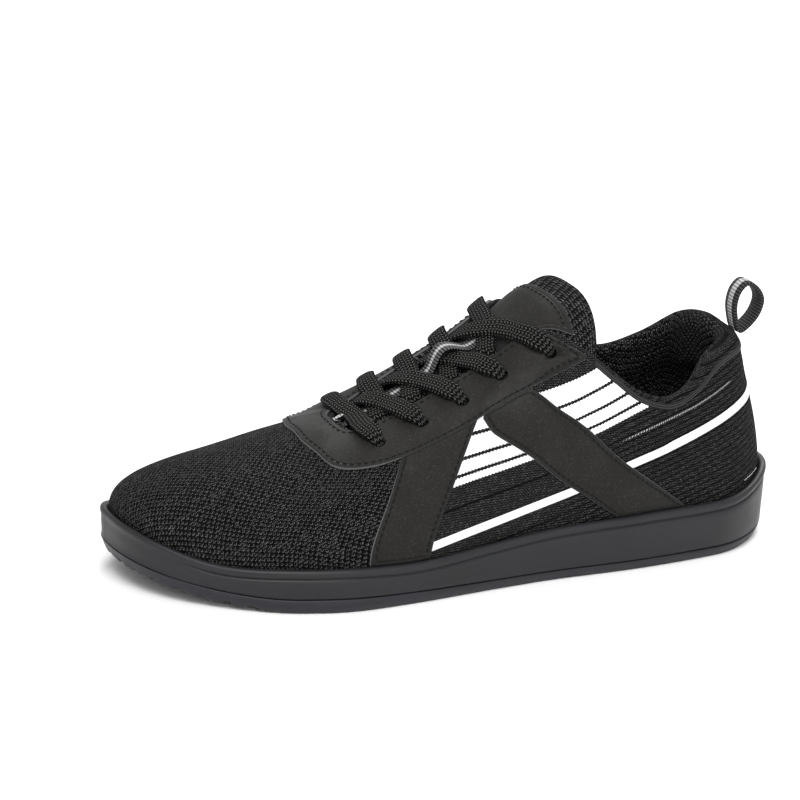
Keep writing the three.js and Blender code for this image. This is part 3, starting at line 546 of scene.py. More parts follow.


# Knitted loops: chevrons in columns, and the gaps of an open mesh between them; the knit's colour paints the
# gaps dark as shade, and the specks are painted highlights on the loops
def makeKnitGroup():
    tree, given, made = startGroup("knitLoops", {
        "Vector": None, "Wale": 1.6 * mm, "Course": 1.2 * mm, "Gap Size": 0.3, "Gap Zone": 1.0,
    }, ["Height", "Highlight Specks"])
    vector = given["Vector"]
    drift = put(tree, "TexNoise", {"Vector": vector, "Scale": knitLook["driftScale"], "Detail": 1.0})[0]
    wander = (drift - 0.5) * knitLook["wander"]
    x = vector.parts()[0] / given["Wale"] + wander
    y = vector.parts()[1] / given["Course"] - wander
    column = ((x * 2.0).calc("FRACT") - 0.5).calc("ABSOLUTE")
    strand = ((y * 2.0 + column * knitLook["slant"]) * fullTurn).calc("SINE")
    ridge = (column * fullTurn).calc("SINE")
    loops = ramp(strand, -1, 1) * ramp(ridge, -0.1, 0.9)
    along, across = x * math.pi, (y + 0.5) * math.pi
    even, odd = ((along.calc(wave) * across.calc(wave)).calc("ABSOLUTE") for wave in ("SINE", "COSINE"))
    limit = 1.0 - given["Gap Size"]
    gaps = ramp(even.calc("MAXIMUM", odd), limit, limit + knitLook["gapFade"]) * given["Gap Zone"]
    cells = put(tree, "TexVoronoi", {"Vector": vector, "Scale": knitLook["glintScale"]})["Color"]
    glint = ramp(put(tree, "SeparateColor", {0: cells})[0], 0.6, 1.0)
    feed(made, {"Height": loops - gaps, "Highlight Specks": glint * loops})
    return tree


# Parallel ribs or grooves at a pitch across the second coordinate
def makeRibGroup():
    tree, given, made = startGroup("ribLines", {
        "Vector": None, "Pitch": 2.6 * mm, "Sharpness": 0.75}, ["Height", "Groove"])
    turn = given["Vector"].parts()[1] / given["Pitch"] * fullTurn
    groove = ramp((turn.calc("SINE") + 1.0) * 0.5, given["Sharpness"], 1.0)
    feed(made, {"Height": 1.0 - groove, "Groove": groove})
    return tree


# Half widths of the ball's grooves and of the dots, and how much of a groove is at full depth
quarterLook = {"Upper Line": 0.75 * mm, "Lower Line": 0.6 * mm, "core": 0.3, "dot": (0.2 * mm, 0.42 * mm)}


# Lines of the quarter: ribs round the heel, two grooves at the ball, a dotted line; the grooves are painted
# dark as shade
def makeQuarterGroup():
    tree, given, made = startGroup("quarterMarks", {
        "Vector": None, "Zones": None, "Dotted": None, "Pitch": 2.6 * mm,
        "Upper Line": 10.3 * mm, "Lower Line": -11.0 * mm, "Dot Pitch": 1.1 * mm,
    }, ["Groove", "Dots"])
    place, zones = given["Vector"].parts(), given["Zones"].parts()
    ribs = put(tree, "Group", {"Vector": given["Vector"], "Pitch": given["Pitch"]}, node_tree=ribLines)

    def lineMask(name, core, edge):
        return ramp((place[1] - given[name]).calc("ABSOLUTE"), core, edge, 1.0, 0.0)

    upper, lower = (lineMask(name, quarterLook["core"] * quarterLook[name], quarterLook[name])
                    for name in ("Upper Line", "Lower Line"))
    front = upper.calc("MAXIMUM", lower) * (1.0 - zones[1]) * (1.0 - zones[0])
    spots = ramp((place[0] / given["Dot Pitch"] * fullTurn).calc("SINE"), -0.1, 0.5)
    dots = spots * lineMask("Upper Line", *quarterLook["dot"]) * given["Dotted"].parts()[0]
    feed(made, {"Groove": (ribs["Groove"] * zones[1]).calc("MAXIMUM", front), "Dots": dots})
    return tree


# Dark knitted teeth along the border of a light patch
def makeToothGroup():
    tree, given, made = startGroup("toothedEdge", {
        "Vector": None, "Pitch": 1.5 * mm, "Depth": 0.4 * mm}, ["Mask"])
    place = given["Vector"].parts()
    tooth = (place[1] / given["Pitch"]).calc("FRACT").calc("LESS_THAN", 0.5) * given["Depth"]
    feed(made, {"Mask": place[0].calc("LESS_THAN", tooth + 0.12 * mm)})
    return tree


# Fine grain, with lighter flecks and a slow change of tone over the surface
def makeGrainGroup():
    tree, given, made = startGroup("fineGrain", {
        "Vector": None, "Grain": 0.6 * mm, "Tone Size": 14 * mm}, ["Height", "Flecks", "Tone"])
    fine, slow = ({"Vector": given["Vector"], "Scale": 1.0 / given[name]} for name in ("Grain", "Tone Size"))
    pebble = put(tree, "TexVoronoi", fine, feature="SMOOTH_F1")["Distance"]
    dust = put(tree, "TexNoise", {**fine, "Detail": 3.0, "Roughness": 0.7})[0]
    tone = put(tree, "TexNoise", {**slow, "Detail": 4.0, "Roughness": 0.6})[0]
    feed(made, {"Height": pebble + dust, "Flecks": ramp(dust, 0.5, 0.72), "Tone": ramp(tone, 0.3, 0.7)})
    return tree


# Mask of a cut edge or a sewn channel, from the distance to the border kept in a map
def makeBorderGroup():
    tree, given, made = startGroup("borderLine", {
        "Vector": None, "Edge Width": 0.28 * mm, "Seam Inset": 2.2 * mm, "Seam Width": 0.5 * mm,
    }, ["Edge", "Channel"])
    far = given["Vector"].parts()[0]
    aside = (far - given["Seam Inset"]).calc("ABSOLUTE")
    feed(made, {"Edge": ramp(far, 0.0, given["Edge Width"], 1.0, 0.0),
                "Channel": ramp(aside, 0.0, given["Seam Width"], 1.0, 0.0)})
    return tree


knitLoops, ribLines, fineGrain, borderLine = (
    makeKnitGroup(), makeRibGroup(), makeGrainGroup(), makeBorderGroup())
quarterMarks, toothedEdge = makeQuarterGroup(), makeToothGroup()


def startMaterial(name, roughness, specular, sheen=0.0):
    material = bpy.data.materials.new(name)
    material.use_nodes = True
    shader = material.node_tree.nodes["Principled BSDF"].inputs
    feed(shader, {"Roughness": roughness, "Specular IOR Level": specular, "Sheen Weight": sheen})
    return material, material.node_tree, shader


def mapOf(tree, name):
    return put(tree, "UVMap", uv_map=name)[0]


def grey(level):
    return (level, level, level)


# Knit colour: the yarn is painted lit on the loops' ridges and painted dark as shade in the gaps between
# them, with painted highlight specks on the ridges
def knitMaterial(name, dark, litYarn, light, wale, course, gapSize, bump, ribs=0.0, toothed=False, contrast=2.2):
    material, tree, shader = startMaterial(name, roughness=0.9, specular=0.06, sheen=0.01)
    given = {"Vector": mapOf(tree, "fabric"), "Wale": wale, "Course": course, "Gap Size": gapSize}
    if ribs:
        given["Gap Zone"] = mapOf(tree, "zones").parts()[0]
    loops = put(tree, "Group", given, node_tree=knitLoops)
    # Painted light: colour follows the loops' height, lighter on the ridges as highlight and near black in
    # the gaps as shade; the ribbed quarter's ridges get less painted highlight
    raised = loops["Height"].calc("MAXIMUM", 0.0).calc("POWER", contrast)
    if ribs:
        raised = raised * ramp(given["Gap Zone"], 0.0, 1.0, 0.58, 1.0)
    colour = blend(loops["Highlight Specks"] * 0.4, blend(raised, dark, litYarn), light)
    normal = addBump(loops["Height"], bump, 0.45 * mm)
    if ribs:
        marks = put(tree, "Group", {"Vector": mapOf(tree, "ribs"), "Zones": mapOf(tree, "zones"),
                                    "Dotted": mapOf(tree, "dots"), "Pitch": ribs}, node_tree=quarterMarks)
        # Painted shade: the grooves between the ribs and the two grooves at the ball are darkened to near
        # black
        colour = blend(marks["Groove"], colour, grey(0.002))
        colour = blend(marks["Dots"], colour, grey(0.6))
        normal = addBump(1.0 - marks["Groove"], 1.0, 0.7 * mm, normal)
    if toothed:
        teeth = put(tree, "Group", {"Vector": mapOf(tree, "border")}, node_tree=toothedEdge)
        colour = blend(teeth["Mask"], colour, grey(0.01))
    feed(shader, {"Base Color": colour, "Normal": normal})
    return material


def grainOf(tree, grain, toneSize):
    place = put(tree, "TexCoord")["Object"]
    return put(tree, "Group", {"Vector": place, "Grain": grain, "Tone Size": toneSize}, node_tree=fineGrain)


def coatedMaterial(name, dark, light, edgeHighlight):
    material, tree, shader = startMaterial(name, roughness=0.6, specular=0.16, sheen=0.03)
    grain = grainOf(tree, 0.8 * mm, 16 * mm)
    border = put(tree, "Group", {"Vector": mapOf(tree, "border")}, node_tree=borderLine)
    colour = blend(grain["Flecks"] * 0.6, dark, light)
    # Painted shade darkens the sewn channel
    colour = blend(border["Channel"] * 0.3, colour, grey(0.003))
    # Painted highlight: a light line along the cut edge
    colour = blend(border["Edge"], colour, edgeHighlight)
    normal = addBump(grain["Height"], 0.25, 0.12 * mm)
    normal = addBump(1.0 - border["Channel"], 0.8, 0.35 * mm, normal)
    feed(shader, {"Base Color": colour, "Roughness": ramp(grain["Tone"], 0, 1, 0.52, 0.7), "Normal": normal})
    return material


def rubberMaterial(name, dark, light, stipple):
    material, tree, shader = startMaterial(name, roughness=0.5, specular=0.3)
    grain = grainOf(tree, 0.7 * mm, 30 * mm)
    feed(shader, {"Base Color": blend(grain["Tone"], dark, light),
                  "Roughness": ramp(grain["Tone"], 0, 1, 0.44, 0.56),
                  "Normal": addBump(grain["Height"], stipple, 0.2 * mm)})
    return material


def ribbonMaterial(name, dark, light, pitch):
    material, tree, shader = startMaterial(name, roughness=0.75, specular=0.2, sheen=0.03)
    inputs = {"Vector": mapOf(tree, "fabric"), "Pitch": pitch, "Sharpness": 0.15}
    height = put(tree, "Group", inputs, node_tree=ribLines)["Height"]
    # Painted light: lighter on the ribs as highlight, darker in the grooves between them as shade
    feed(shader, {"Base Color": blend(height, grey(dark), grey(light)),
                  "Normal": addBump(height, 0.9, 0.25 * mm)})
    return material


# Knit colours in order: painted shade in the gaps, the yarn with painted highlight on the ridges, painted
# highlight specks; the lace uses one lit colour for both ridges and specks
whiteYarn = [grey(0.74), grey(0.88), grey(0.9), 1.8 * mm, 1.4 * mm, 0.0, 0.15]
litLaceYarn = (0.085, 0.083, 0.08)
materials = {
    "upper": knitMaterial("blackKnit", grey(0.001), (0.098, 0.098, 0.096), (0.26, 0.26, 0.255),
                          2.7 * mm, 2.1 * mm, 0.4, 1.0, ribs=2.7 * mm, contrast=2.4),
    "lining": knitMaterial("ribbedLining", grey(0.001), grey(0.078), grey(0.26),
                           4.4 * mm, 3.0 * mm, 0.3, 1.0, contrast=2.8),
    "white": knitMaterial("whiteKnit", *whiteYarn, toothed=True, contrast=1.0),
    "whiteLine": knitMaterial("whiteLineKnit", *whiteYarn, contrast=1.0),
    "tongue": knitMaterial("tongueKnit", grey(0.001), grey(0.105), grey(0.34), 3.2 * mm, 2.5 * mm, 0.4, 1.0),
    "lace": knitMaterial("braidedLace", grey(0.001), litLaceYarn, litLaceYarn,
                         4.6 * mm, 3.6 * mm, 0.0, 1.0, contrast=4.5),
    # The last colour is a painted highlight along the overlay's cut edges
    "overlay": coatedMaterial("nubuckOverlay", (0.0082, 0.0077, 0.0071), (0.033, 0.031, 0.0285), grey(0.13)),
    "sole": rubberMaterial("soleRubber", (0.0098, 0.01, 0.0112), (0.0138, 0.014, 0.0165), 0.12),
    "tread": rubberMaterial("treadRubber", (0.0115, 0.0117, 0.015), (0.017, 0.0172, 0.022), 0.35),
    "insole": knitMaterial("insoleCloth", grey(0.003), grey(0.02), grey(0.05), 1.6 * mm, 1.6 * mm, 0.1, 0.5),
    # Ribbed materials: the first level is painted shade in the grooves, the second painted highlight on the
    # ribs
    "ribbon": ribbonMaterial("ribbedRibbon", 0.0005, 0.085, 1.3 * mm),
    "loopRibbon": ribbonMaterial("loopRibbon", 0.0005, 0.036, 1.3 * mm),
    "binding": ribbonMaterial("collarBinding", 0.002, 0.03, 0.9 * mm),
    "reflective": ribbonMaterial("reflectiveStripe", 0.2, 0.44, 1.3 * mm),
    "thread": ribbonMaterial("blackThread", 0.0003, 0.004, 0.5 * mm),
    "whiteThread": ribbonMaterial("whiteThread", 0.6, 0.8, 0.5 * mm),
}
print("materials made")


# Sole: rings round the outline, closed across the foot
soleColumns = 560
shareRing = np.arange(soleColumns) / soleColumns
toePlain = {"middle": 0.497, "plain": 0.05, "full": 0.085}
lowered = smoothStep(toePlain["plain"], toePlain["full"], np.abs(shareRing - toePlain["middle"]))


# A width in millimetres that grows from the plain toe to the grooved sides
def grooved(plain, full):
    return mix(plain, full, lowered) * mm


def capMesh(ring, across, shapeAt):
    count = len(ring)
    half = count // 2
    middle = np.arange(1, half)
    share = np.arange(1, across)[None, :, None] / across
    inside = ring[middle][:, None] * (1 - share) + ring[count - middle][:, None] * share
    inside[..., 2] += shapeAt(inside)
    index = np.zeros((half + 1, across + 1), int)
    index[:, 0] = np.arange(half + 1)
    index[:, -1] = (count - np.arange(half + 1)) % count
    index[1:-1, 1:-1] = count + np.arange(inside.shape[0] * inside.shape[1]).reshape(inside.shape[:2])
    index[0], index[-1] = 0, half
    rows = index[1:-1]
    quads = np.stack([rows[:-1, :-1], rows[:-1, 1:], rows[1:, 1:], rows[1:, :-1]], -1).reshape(-1, 4)
    tips = np.concatenate([np.stack([index[0, :-1], index[1, 1:], index[1, :-1]], -1),
                           np.stack([index[-2, :-1], index[-2, 1:], index[-1, 1:]], -1)])
    return inside.reshape(-1, 3), quads, tips


def solePiece(name, section, bottomShape, topShape, across=(8, 8)):
    rings = []
    for inset, heightAt, raised in section:
        inset = np.broadcast_to(np.asarray(inset, float), shareRing.shape)
        rings.append(insetPoint(shareRing, inset, heightAt))
        rings[-1][:, 2] += raised
    total = len(rings) * soleColumns
    points, quads, tips = list(rings), [gridFaces(len(rings), soleColumns, wrapCols=True)[0]], []
    ends = ((0, rings[0], across[0], bottomShape), (total - soleColumns, rings[-1], across[1], topShape))
    for first, ring, cells, shape in ends:
        inside, capQuads, capTips = capMesh(ring, cells, shape)
        for faces, kept in ((capQuads, quads), (capTips, tips)):
            moved = np.where(faces < soleColumns, faces + first, faces - soleColumns + total)
            kept.append(moved[:, ::-1] if first else moved)
        points.append(inside)
        total += len(inside)
    points = np.concatenate(points)
    faces = [np.concatenate(quads), np.concatenate(tips)]
    return faceOut(makeMesh(name, points, faces, {"fabric": [points[group][..., :2] for group in faces]}))


treadLook = {
    "wavePitch": 8.5 * mm, "waveDepth": 0.8 * mm, "sway": 3.5 * mm, "swayLength": 34 * mm,
    "border": 9 * mm, "borderFade": 1.5 * mm, "notches": 0.0155, "notchDepth": 1.3 * mm,
    "notchEnd": (0.1, 0.13),
}


def sideDistance(points):
    places = points[..., :2].reshape(-1, 2)
    far = np.full(len(places), 1.0)
    for corner in outlineLoop[::12]:
        far = np.minimum(far, np.linalg.norm(places - corner, axis=1))
    return far.reshape(points.shape[:-1])


def treadDepth(points):
    x = points[..., 0] + treadLook["sway"] * np.cos(fullTurn * points[..., 1] / treadLook["swayLength"])
    wave = 0.5 + 0.5 * np.sin(fullTurn * x / treadLook["wavePitch"])
    border = treadLook["border"]
    inside = smoothStep(border, border + treadLook["borderFade"], sideDistance(points))
    return treadLook["waveDepth"] * smoothStep(0.45, 0.85, wave) * inside


def notchAt(share):
    wave = smoothStep(0.35, 0.8, np.sin(fullTurn * share / treadLook["notches"]))
    return treadLook["notchDepth"] * wave * (1 - smoothStep(*treadLook["notchEnd"], np.abs(share - 0.5)))


def flat(points):
    return np.zeros(points.shape[:-1])


def makeSole():
    notch = notchAt(shareRing)
    seam = grooved(0.9, 1.7)
    bottom = [
        (size["bottomInset"], bottomAt, notch * 0.9),
        (size["bottomInset"] - 0.7 * mm, bottomAt, notch * 0.9 + 0.12 * mm),
        (2.7 * mm + notch * 0.5, bottomAt, notch * 0.6 + 0.7 * mm),
        (2.15 * mm, bottomAt, 1.7 * mm),
        (1.6 * mm, bottomAt, 2.9 * mm),
        (grooved(1.0, 1.25), partingAt, -0.7 * mm),
        (seam - 0.2 * mm, partingAt, -0.25 * mm),
        (seam + 0.3 * mm, partingAt, -0.05 * mm),
        (3 * mm, partingAt, 0.0),
    ]
    outsole = solePiece("outsoleTread", bottom, treadDepth, flat, across=(84, 8))
    dress(outsole, materials["tread"], "outsole_rubber", "outsole")

    def wallAtShare(share):
        return lambda along: mix(partingAt(along), rimAt(along) - size["bead"], share)

    bead = size["bead"]
    dip = grooved(0.45, 1.35)
    side = [
        (3 * mm, partingAt, 0.05 * mm),
        (seam + 0.3 * mm, partingAt, 0.1 * mm),
        (seam - 0.25 * mm, partingAt, 0.32 * mm),
        (grooved(0.85, 1.0), partingAt, 0.8 * mm),
        (0.85 * mm, wallAtShare(0.3), 0.0),
        (0.65 * mm, wallAtShare(0.55), 0.0),
        (0.52 * mm, wallAtShare(0.8), 0.0),
        (0.55 * mm, rimAt, -bead - 1.2 * mm),
        (grooved(0.5, 0.8), rimAt, -bead - 0.75 * mm),
        (dip, rimAt, -bead - 0.4 * mm),
        (dip - 0.05 * mm, rimAt, -bead - 0.1 * mm),
        (grooved(0.4, 0.55), rimAt, -bead + 0.25 * mm),
        (0.14 * mm, rimAt, -bead * 0.8),
        (0.0, rimAt, -bead * 0.55),
        (0.1 * mm, rimAt, -bead * 0.32),
        (0.4 * mm, rimAt, -0.62 * mm),
        (0.95 * mm, rimAt, -0.22 * mm),
        (1.7 * mm, rimAt, -0.02 * mm),
        (2.5 * mm, rimAt, -0.12 * mm),
        (size["lip"] - 0.1 * mm, rimAt, -0.5 * mm),
        (size["lip"], rimAt, -1.2 * mm),
        (size["lip"], floorAt, 0.0),
    ]
    midsole = solePiece("midsoleCup", side, flat, flat)
    dress(midsole, materials["sole"], "midsole_rubber", "midsole")
    bed = size["lip"] + size["gap"] * 2 + size["wall"] + 0.4 * mm

    def bedAt(along):
        return floorAt(along) + size["gap"]

    slab = [
        (bed + 0.6 * mm, bedAt, 0.0), (bed, bedAt, 0.5 * mm), (bed, bedAt, size["insole"] - 0.9 * mm),
        (bed + 0.35 * mm, bedAt, size["insole"] - 0.25 * mm), (bed + 1.2 * mm, bedAt, size["insole"]),
    ]
    insole = solePiece("insoleBed", slab, flat, flat, across=(8, 24))
    dress(insole, materials["insole"], "insole_lining", "insole")


makeSole()
print("sole made")


# Lines of the quarter run from low at the ball to high round the heel: height over the side view's x
stripeLine = {
    "x": [-45, -26, 6, 37, 62, 82, 101, 116, 131],
    "z": [21, 25.2, 32, 39.6, 48.3, 54.3, 59.8, 63.5, 66.5],
}


def riseOver(points):
    return points[..., 2] - smoothRow(stripeLine, "x", "z", points[..., 0] / mm) * mm


# Upper: outer knit, rounded topline and lining in one closed wall. Zones are shares from heel to toe
upperLook = {
    "columns": 520, "outer": 96, "rim": 9, "inner": 40, "foot": [-1, -0.5, -0.12], "innerFoot": [-0.3, -1],
    "seamAt": 0.615, "ribsEnd": (0.34, 0.42), "meshStart": (0.6, 0.63), "dotsStart": (0.125, 0.14),
    "dotsEnd": (0.33, 0.35),
}


def makeUpper():
    columns = upperLook["columns"]
    share = np.arange(columns + 1) / columns
    levels = np.concatenate([upperLook["foot"], np.linspace(0, 1, upperLook["outer"])])
    grid = onUpper(share, levels[:, None])
    rim = np.stack([toplineRim(share, turn) for turn in np.linspace(0, 1, upperLook["rim"] + 2)[1:-1]])
    backLevels = np.concatenate([np.linspace(1, 0.02, upperLook["inner"]), upperLook["innerFoot"]])[:, None]
    rings = np.concatenate([grid, rim, onUpper(share, backLevels, -wallAt(share, backLevels))])
    rings[:, -1] = rings[:, 0]
    outerRows = len(levels) + len(rim) // 2
    loops = np.concatenate([rings, rings[:1]])
    height = arcGrid(loops)
    around = np.broadcast_to(share * fullReach, height.shape)
    foot, top = rings[len(upperLook["foot"]), :, :2], rings[len(levels) - 1, :, :2]
    vamp = top + unit(foot - top) * np.maximum(height[len(levels) - 1] - height, 0)[..., None]
    quads, corners = gridFaces(len(rings), columns, wrapRows=True, wrapCols=True)
    middle = halfAt((corners[1][:, 0] + 0.5) / columns)
    inVamp = (middle > upperLook["seamAt"]) & (corners[0][:, 0] < outerRows)
    quarter = pickUv(np.stack([around, height], -1), corners)
    at = halfAt(share)
    rear = 1 - smoothStep(*upperLook["ribsEnd"], at)
    dotted = smoothStep(*upperLook["dotsStart"], at) * (1 - smoothStep(*upperLook["dotsEnd"], at))

    def pair(x, y):
        return [pickUv(np.stack(np.broadcast_arrays(x, y, height)[:2], -1), corners)]

    uvs = {"fabric": [np.where(inVamp[:, None, None], pickUv(vamp, corners), quarter)],
           "ribs": pair(around, riseOver(loops)), "dots": pair(dotted, rear),
           "zones": pair(smoothStep(*upperLook["meshStart"], at), rear)}
    piece = faceOut(makeMesh("upperKnit", rings[:, :-1], [quads], uvs))
    dress(piece, [materials["upper"], materials["lining"]], "upper_knit", "upper")
    inside = (corners[0][:, 0] >= outerRows).astype(np.int32)
    piece.data.polygons.foreach_set("material_index", inside)
    return piece


upperKnit = makeUpper()
print("upper made")


# A patch with rounded edges; placeAt gives its points at a height over the surface below it
def patchPiece(name, placeAt, material, slot, nodes=(), base=0.04 * mm, thick=size["overlay"],
               radius=0.5 * mm):
    middle = placeAt(base)
    border = edgeDistance(middle)
    outer = placeAt(base + thick * roundShare(border + 0.04 * mm, radius))
    rowArc, colArc = arcGrid(middle, 0), arcGrid(middle, 1)
    maps = {"border": np.stack([border, rowArc], -1), "fabric": np.stack([rowArc, colArc], -1)}
    return dress(shellPiece(name, outer, middle, maps), material, slot, *nodes)


def overlayPiece(name, grid, material, slot, nodes=(), **look):
    return patchPiece(name, lambda distance: onUpper(*grid, distance), material, slot, nodes, **look)


# Shares and levels of a patch between two edges, whose levels are given along its shares
def patchGrid(share, across, low, high):
    low, high = (np.broadcast_to(edge, share.shape)[:, None] for edge in (low, high))
    return np.broadcast_arrays(share[:, None], mix(low, high, across))


stay = {
    "at": [0.45, 0.48, 0.511, 0.571, 0.626, 0.674, 0.711, 0.758, 0.838, 0.92, 1.0],
    "level": [0.955, 0.79, 0.655, 0.602, 0.58, 0.568, 0.58, 0.65, 0.8, 0.85, 0.865],
    "top": 0.985, "corner": 0.45, "columns": 420, "bands": 22,
}
laceHoles = {
    "at": [0.733, 0.677, 0.621, 0.561, 0.494], "level": [0.758, 0.764, 0.772, 0.794, 0.877],
    "edge": [0.789, 0.713, 0.651, 0.589, 0.506], "rise": [0.757, 0.705, 0.65, 0.59, 0.5],
    "width": 5.5 * mm, "reach": 14 * mm, "sides": 28, "turned": (0.3, 0.2, 1.0),
}


def stayEdge(share):
    return smoothRow(stay, "at", "level", halfAt(share))


def shareOn(side, at):
    return np.where(side < 0, at / 2, 1 - at / 2)


def holePins():
    sides = laceHoles["sides"]
    turn = np.arange(sides)[:, None] / sides * fullTurn
    points, walls, ends = [], [], []
    for side in (-1, 1):
        for at, level in zip(laceHoles["at"], laceHoles["level"]):
            share = float(shareOn(side, at))
            middle, normal = onUpper(share, level), upperNormal(share, level)
            wide = unit(np.cross(normal, laceHoles["turned"]))
            deep = np.cross(normal, wide)
            circle = middle + (np.cos(turn) * wide + np.sin(turn) * deep) * laceHoles["width"] / 2
            reach = normal * laceHoles["reach"] / 2
            pinWalls, pinEnds, _ = tubeFaces(2, sides, first=len(points) * sides)
            points += [circle - reach, circle + reach]
            walls += pinWalls.tolist()
            ends += pinEnds.tolist()
    data = bpy.data.meshes.new("holePins")
    data.from_pydata(np.concatenate(points).tolist(), [], walls + ends)
    return faceOut(addObject("holePins", data))


def cutHoles(pieces):
    pins = holePins()
    for piece in pieces:
        cut = piece.modifiers.new("laceHoles", "BOOLEAN")
        cut.object = pins
        cut.solver = "EXACT"
        bpy.context.view_layer.objects.active = piece
        bpy.ops.object.modifier_apply(modifier=cut.name)
    bpy.data.objects.remove(pins)


def makeEyestay():
    along = edgeSpaced(stay["columns"], (0, 0.0004, 0.001, 0.002))
    share = mix(stay["corner"] / 2, 1 - stay["corner"] / 2, along)
    across = edgeSpaced(stay["bands"], (0, 0.004, 0.01, 0.018, 0.028, 0.042))
    grid = patchGrid(share, across, stayEdge(share), stay["top"])
    return overlayPiece("eyestayOverlay", grid, materials["overlay"], "overlay", ["eyestay"])


straps = {
    "front": {
        "down": [0.0, 0.5, 1.0], "frontAt": [0.674, 0.65, 0.643], "frontLevel": [0.57, 0.305, 0.0],
        "rearAt": [0.573, 0.56, 0.562], "rearLevel": [0.6, 0.3, 0.0],
    },
    "rear": {
        "down": [0.0, 0.12, 0.35, 0.7, 1.0], "frontAt": [0.566, 0.526, 0.447, 0.367, 0.308],
        "frontLevel": [0.6, 0.485, 0.37, 0.187, 0.0], "rearAt": [0.503, 0.464, 0.394, 0.303, 0.211],
        "rearLevel": [0.68, 0.648, 0.605, 0.36, 0.0],
    },
}
strapLook = {
    "steps": 90, "bands": 26, "underStay": 0.02, "underRim": -0.06, "base": 0.03 * mm,
    "thick": size["overlay"] * 0.7,
}


def strapGrid(rows, side):
    down = np.linspace(0, 1, strapLook["steps"])[:, None]
    across = edgeSpaced(strapLook["bands"], (0, 0.005, 0.012, 0.022, 0.035))[None, :]
    at, level = (mix(smoothRow(rows, "down", "front" + name, down),
                     smoothRow(rows, "down", "rear" + name, down), across) for name in ("At", "Level"))
    share = shareOn(side, at)
    top = stayEdge(share) + strapLook["underStay"]
    level = np.where(down == 0, top, np.minimum(level, top))
    return share, np.where(down == 1, strapLook["underRim"], np.maximum(level, 0.0))


def makeStraps():
    for side, sideName in ((-1, "lateral"), (1, "medial")):
        for name, rows in straps.items():
            overlayPiece(f"{name}Strap.{sideName}", strapGrid(rows, side), materials["overlay"], "overlay",
                         [f"strap_{name}_{sideName}"], base=strapLook["base"], thick=strapLook["thick"])


eyestayOverlay = makeEyestay()
makeStraps()
cutHoles([upperKnit, eyestayOverlay])
print("overlays made")


# White knit stripes between two rises over the stripe line, in millimetres
stripes = {
    "bars": [(19.0, 22.2), (23.1, 28.2), (29.1, 35.9), (36.8, 44.6)],
    "heel": (-3.7, 0.0), "rear": 0.1, "front": 0.293, "columns": 220, "bands": 8, "thick": 0.16 * mm,
    "top": 0.992,
}


def levelAtRise(share, rise):
    levels = np.linspace(0, 1, 240)
    heights = riseOver(upperPoint(share[:, None], levels[None, :]))
    return np.array([np.interp(rise, np.maximum.accumulate(row), levels) for row in heights])


def stripePiece(name, low, high, start, end, material):
    share = np.linspace(start, end, stripes["columns"])
    low, high = (np.clip(levelAtRise(share, rise * mm), 0.001, stripes["top"]) for rise in (low, high))
    kept = high - low > 0.004
    grid = patchGrid(share[kept], edgeSpaced(stripes["bands"], (0, 0.03)), low[kept], high[kept])
    overlayPiece(name, grid, material, "upper_knit", base=0.0, thick=stripes["thick"], radius=0.25 * mm)


def makeStripes():
    for side, sideName in ((1, "lateral"), (-1, "medial")):
        for k, (low, high) in enumerate(stripes["bars"]):
            stripePiece(f"quarterBar{k + 1}.{sideName}", low, high, side * stripes["rear"],
                        side * stripes["front"], materials["white"])
    stripePiece("heelStripe", *stripes["heel"], -stripes["front"], stripes["front"], materials["whiteLine"])


# Folded binding round the collar, from one end of the eyestay to the other
binding = {
    "reach": 0.218, "width": 2.4 * mm, "thick": 0.5 * mm, "radius": 0.9 * mm, "columns": 420, "bands": 8,
}


def makeBinding():
    share = np.linspace(-binding["reach"], binding["reach"], binding["columns"])
    levels = np.linspace(0.8, 1.0, 60)
    arc = arcGrid(upperPoint(share[:, None], levels), 1)
    low = np.array([np.interp(row[-1] - binding["width"], row, levels) for row in arc])
    grid = patchGrid(share, edgeSpaced(binding["bands"], (0, 0.04)), low, 1.0)
    overlayPiece("collarBinding", grid, materials["binding"], "ribbon", base=0.0, thick=binding["thick"],
                 radius=binding["radius"])


makeStripes()
makeBinding()
print("stripes made")


# Tongue: a crowned pad between the throat edges
tongue = {
    "at": [0.42, 0.445, 0.47, 0.495, 0.53, 0.59, 1.0],
    "crown": [0.285, 0.22, 0.145, 0.085, 0.035, 0.02, 0.01],
    "fullness": 2.8, "lean": 0.15, "twist": 0.25, "clear": 0.75 * mm, "rows": 150, "across": 90,
    "flap": [0.84, 0.88, 0.92, 0.96], "round": 3.2 * mm, "end": 0.985, "crowding": 1.15,
}


def tongueEdge(share, level):
    return onUpper(share, level, -wallAt(share, level) - tongue["clear"])


def tonguePoint(at, across):
    at, across = np.broadcast_arrays(np.asarray(at, float), np.asarray(across, float))
    near, far = tongueEdge(at / 2, 1.0), tongueEdge(1 - at / 2, 1.0)
    crown = size["instep"] * smoothRow(tongue, "at", "crown", at)
    inward = 2 * across - 1
    bulge = crown * (1 - np.abs(inward) ** tongue["fullness"])
    raised = points3(-bulge * tongue["twist"] * inward, 0 * bulge, bulge * (1 + tongue["lean"] * inward))
    return mix(near, far, across[..., None]) + raised


def tongueUp(at, across):
    step = 0.01
    along = tonguePoint(at + step, across) - tonguePoint(at - step, across)
    wide = tonguePoint(at, across + step) - tonguePoint(at, across - step)
    up = unit(np.cross(along, wide))
    return up * np.sign(up[..., 2:])


def onTongue(at, across, distance):
    return tonguePoint(at, across) + tongueUp(at, across) * np.asarray(distance)[..., None]


def gridNormals(points, upward):
    normals = unit(np.cross(np.gradient(points, axis=0), np.gradient(points, axis=1)))
    middle = normals[points.shape[0] // 2, points.shape[1] // 2]
    return normals if middle @ np.array(upward) > 0 else -normals


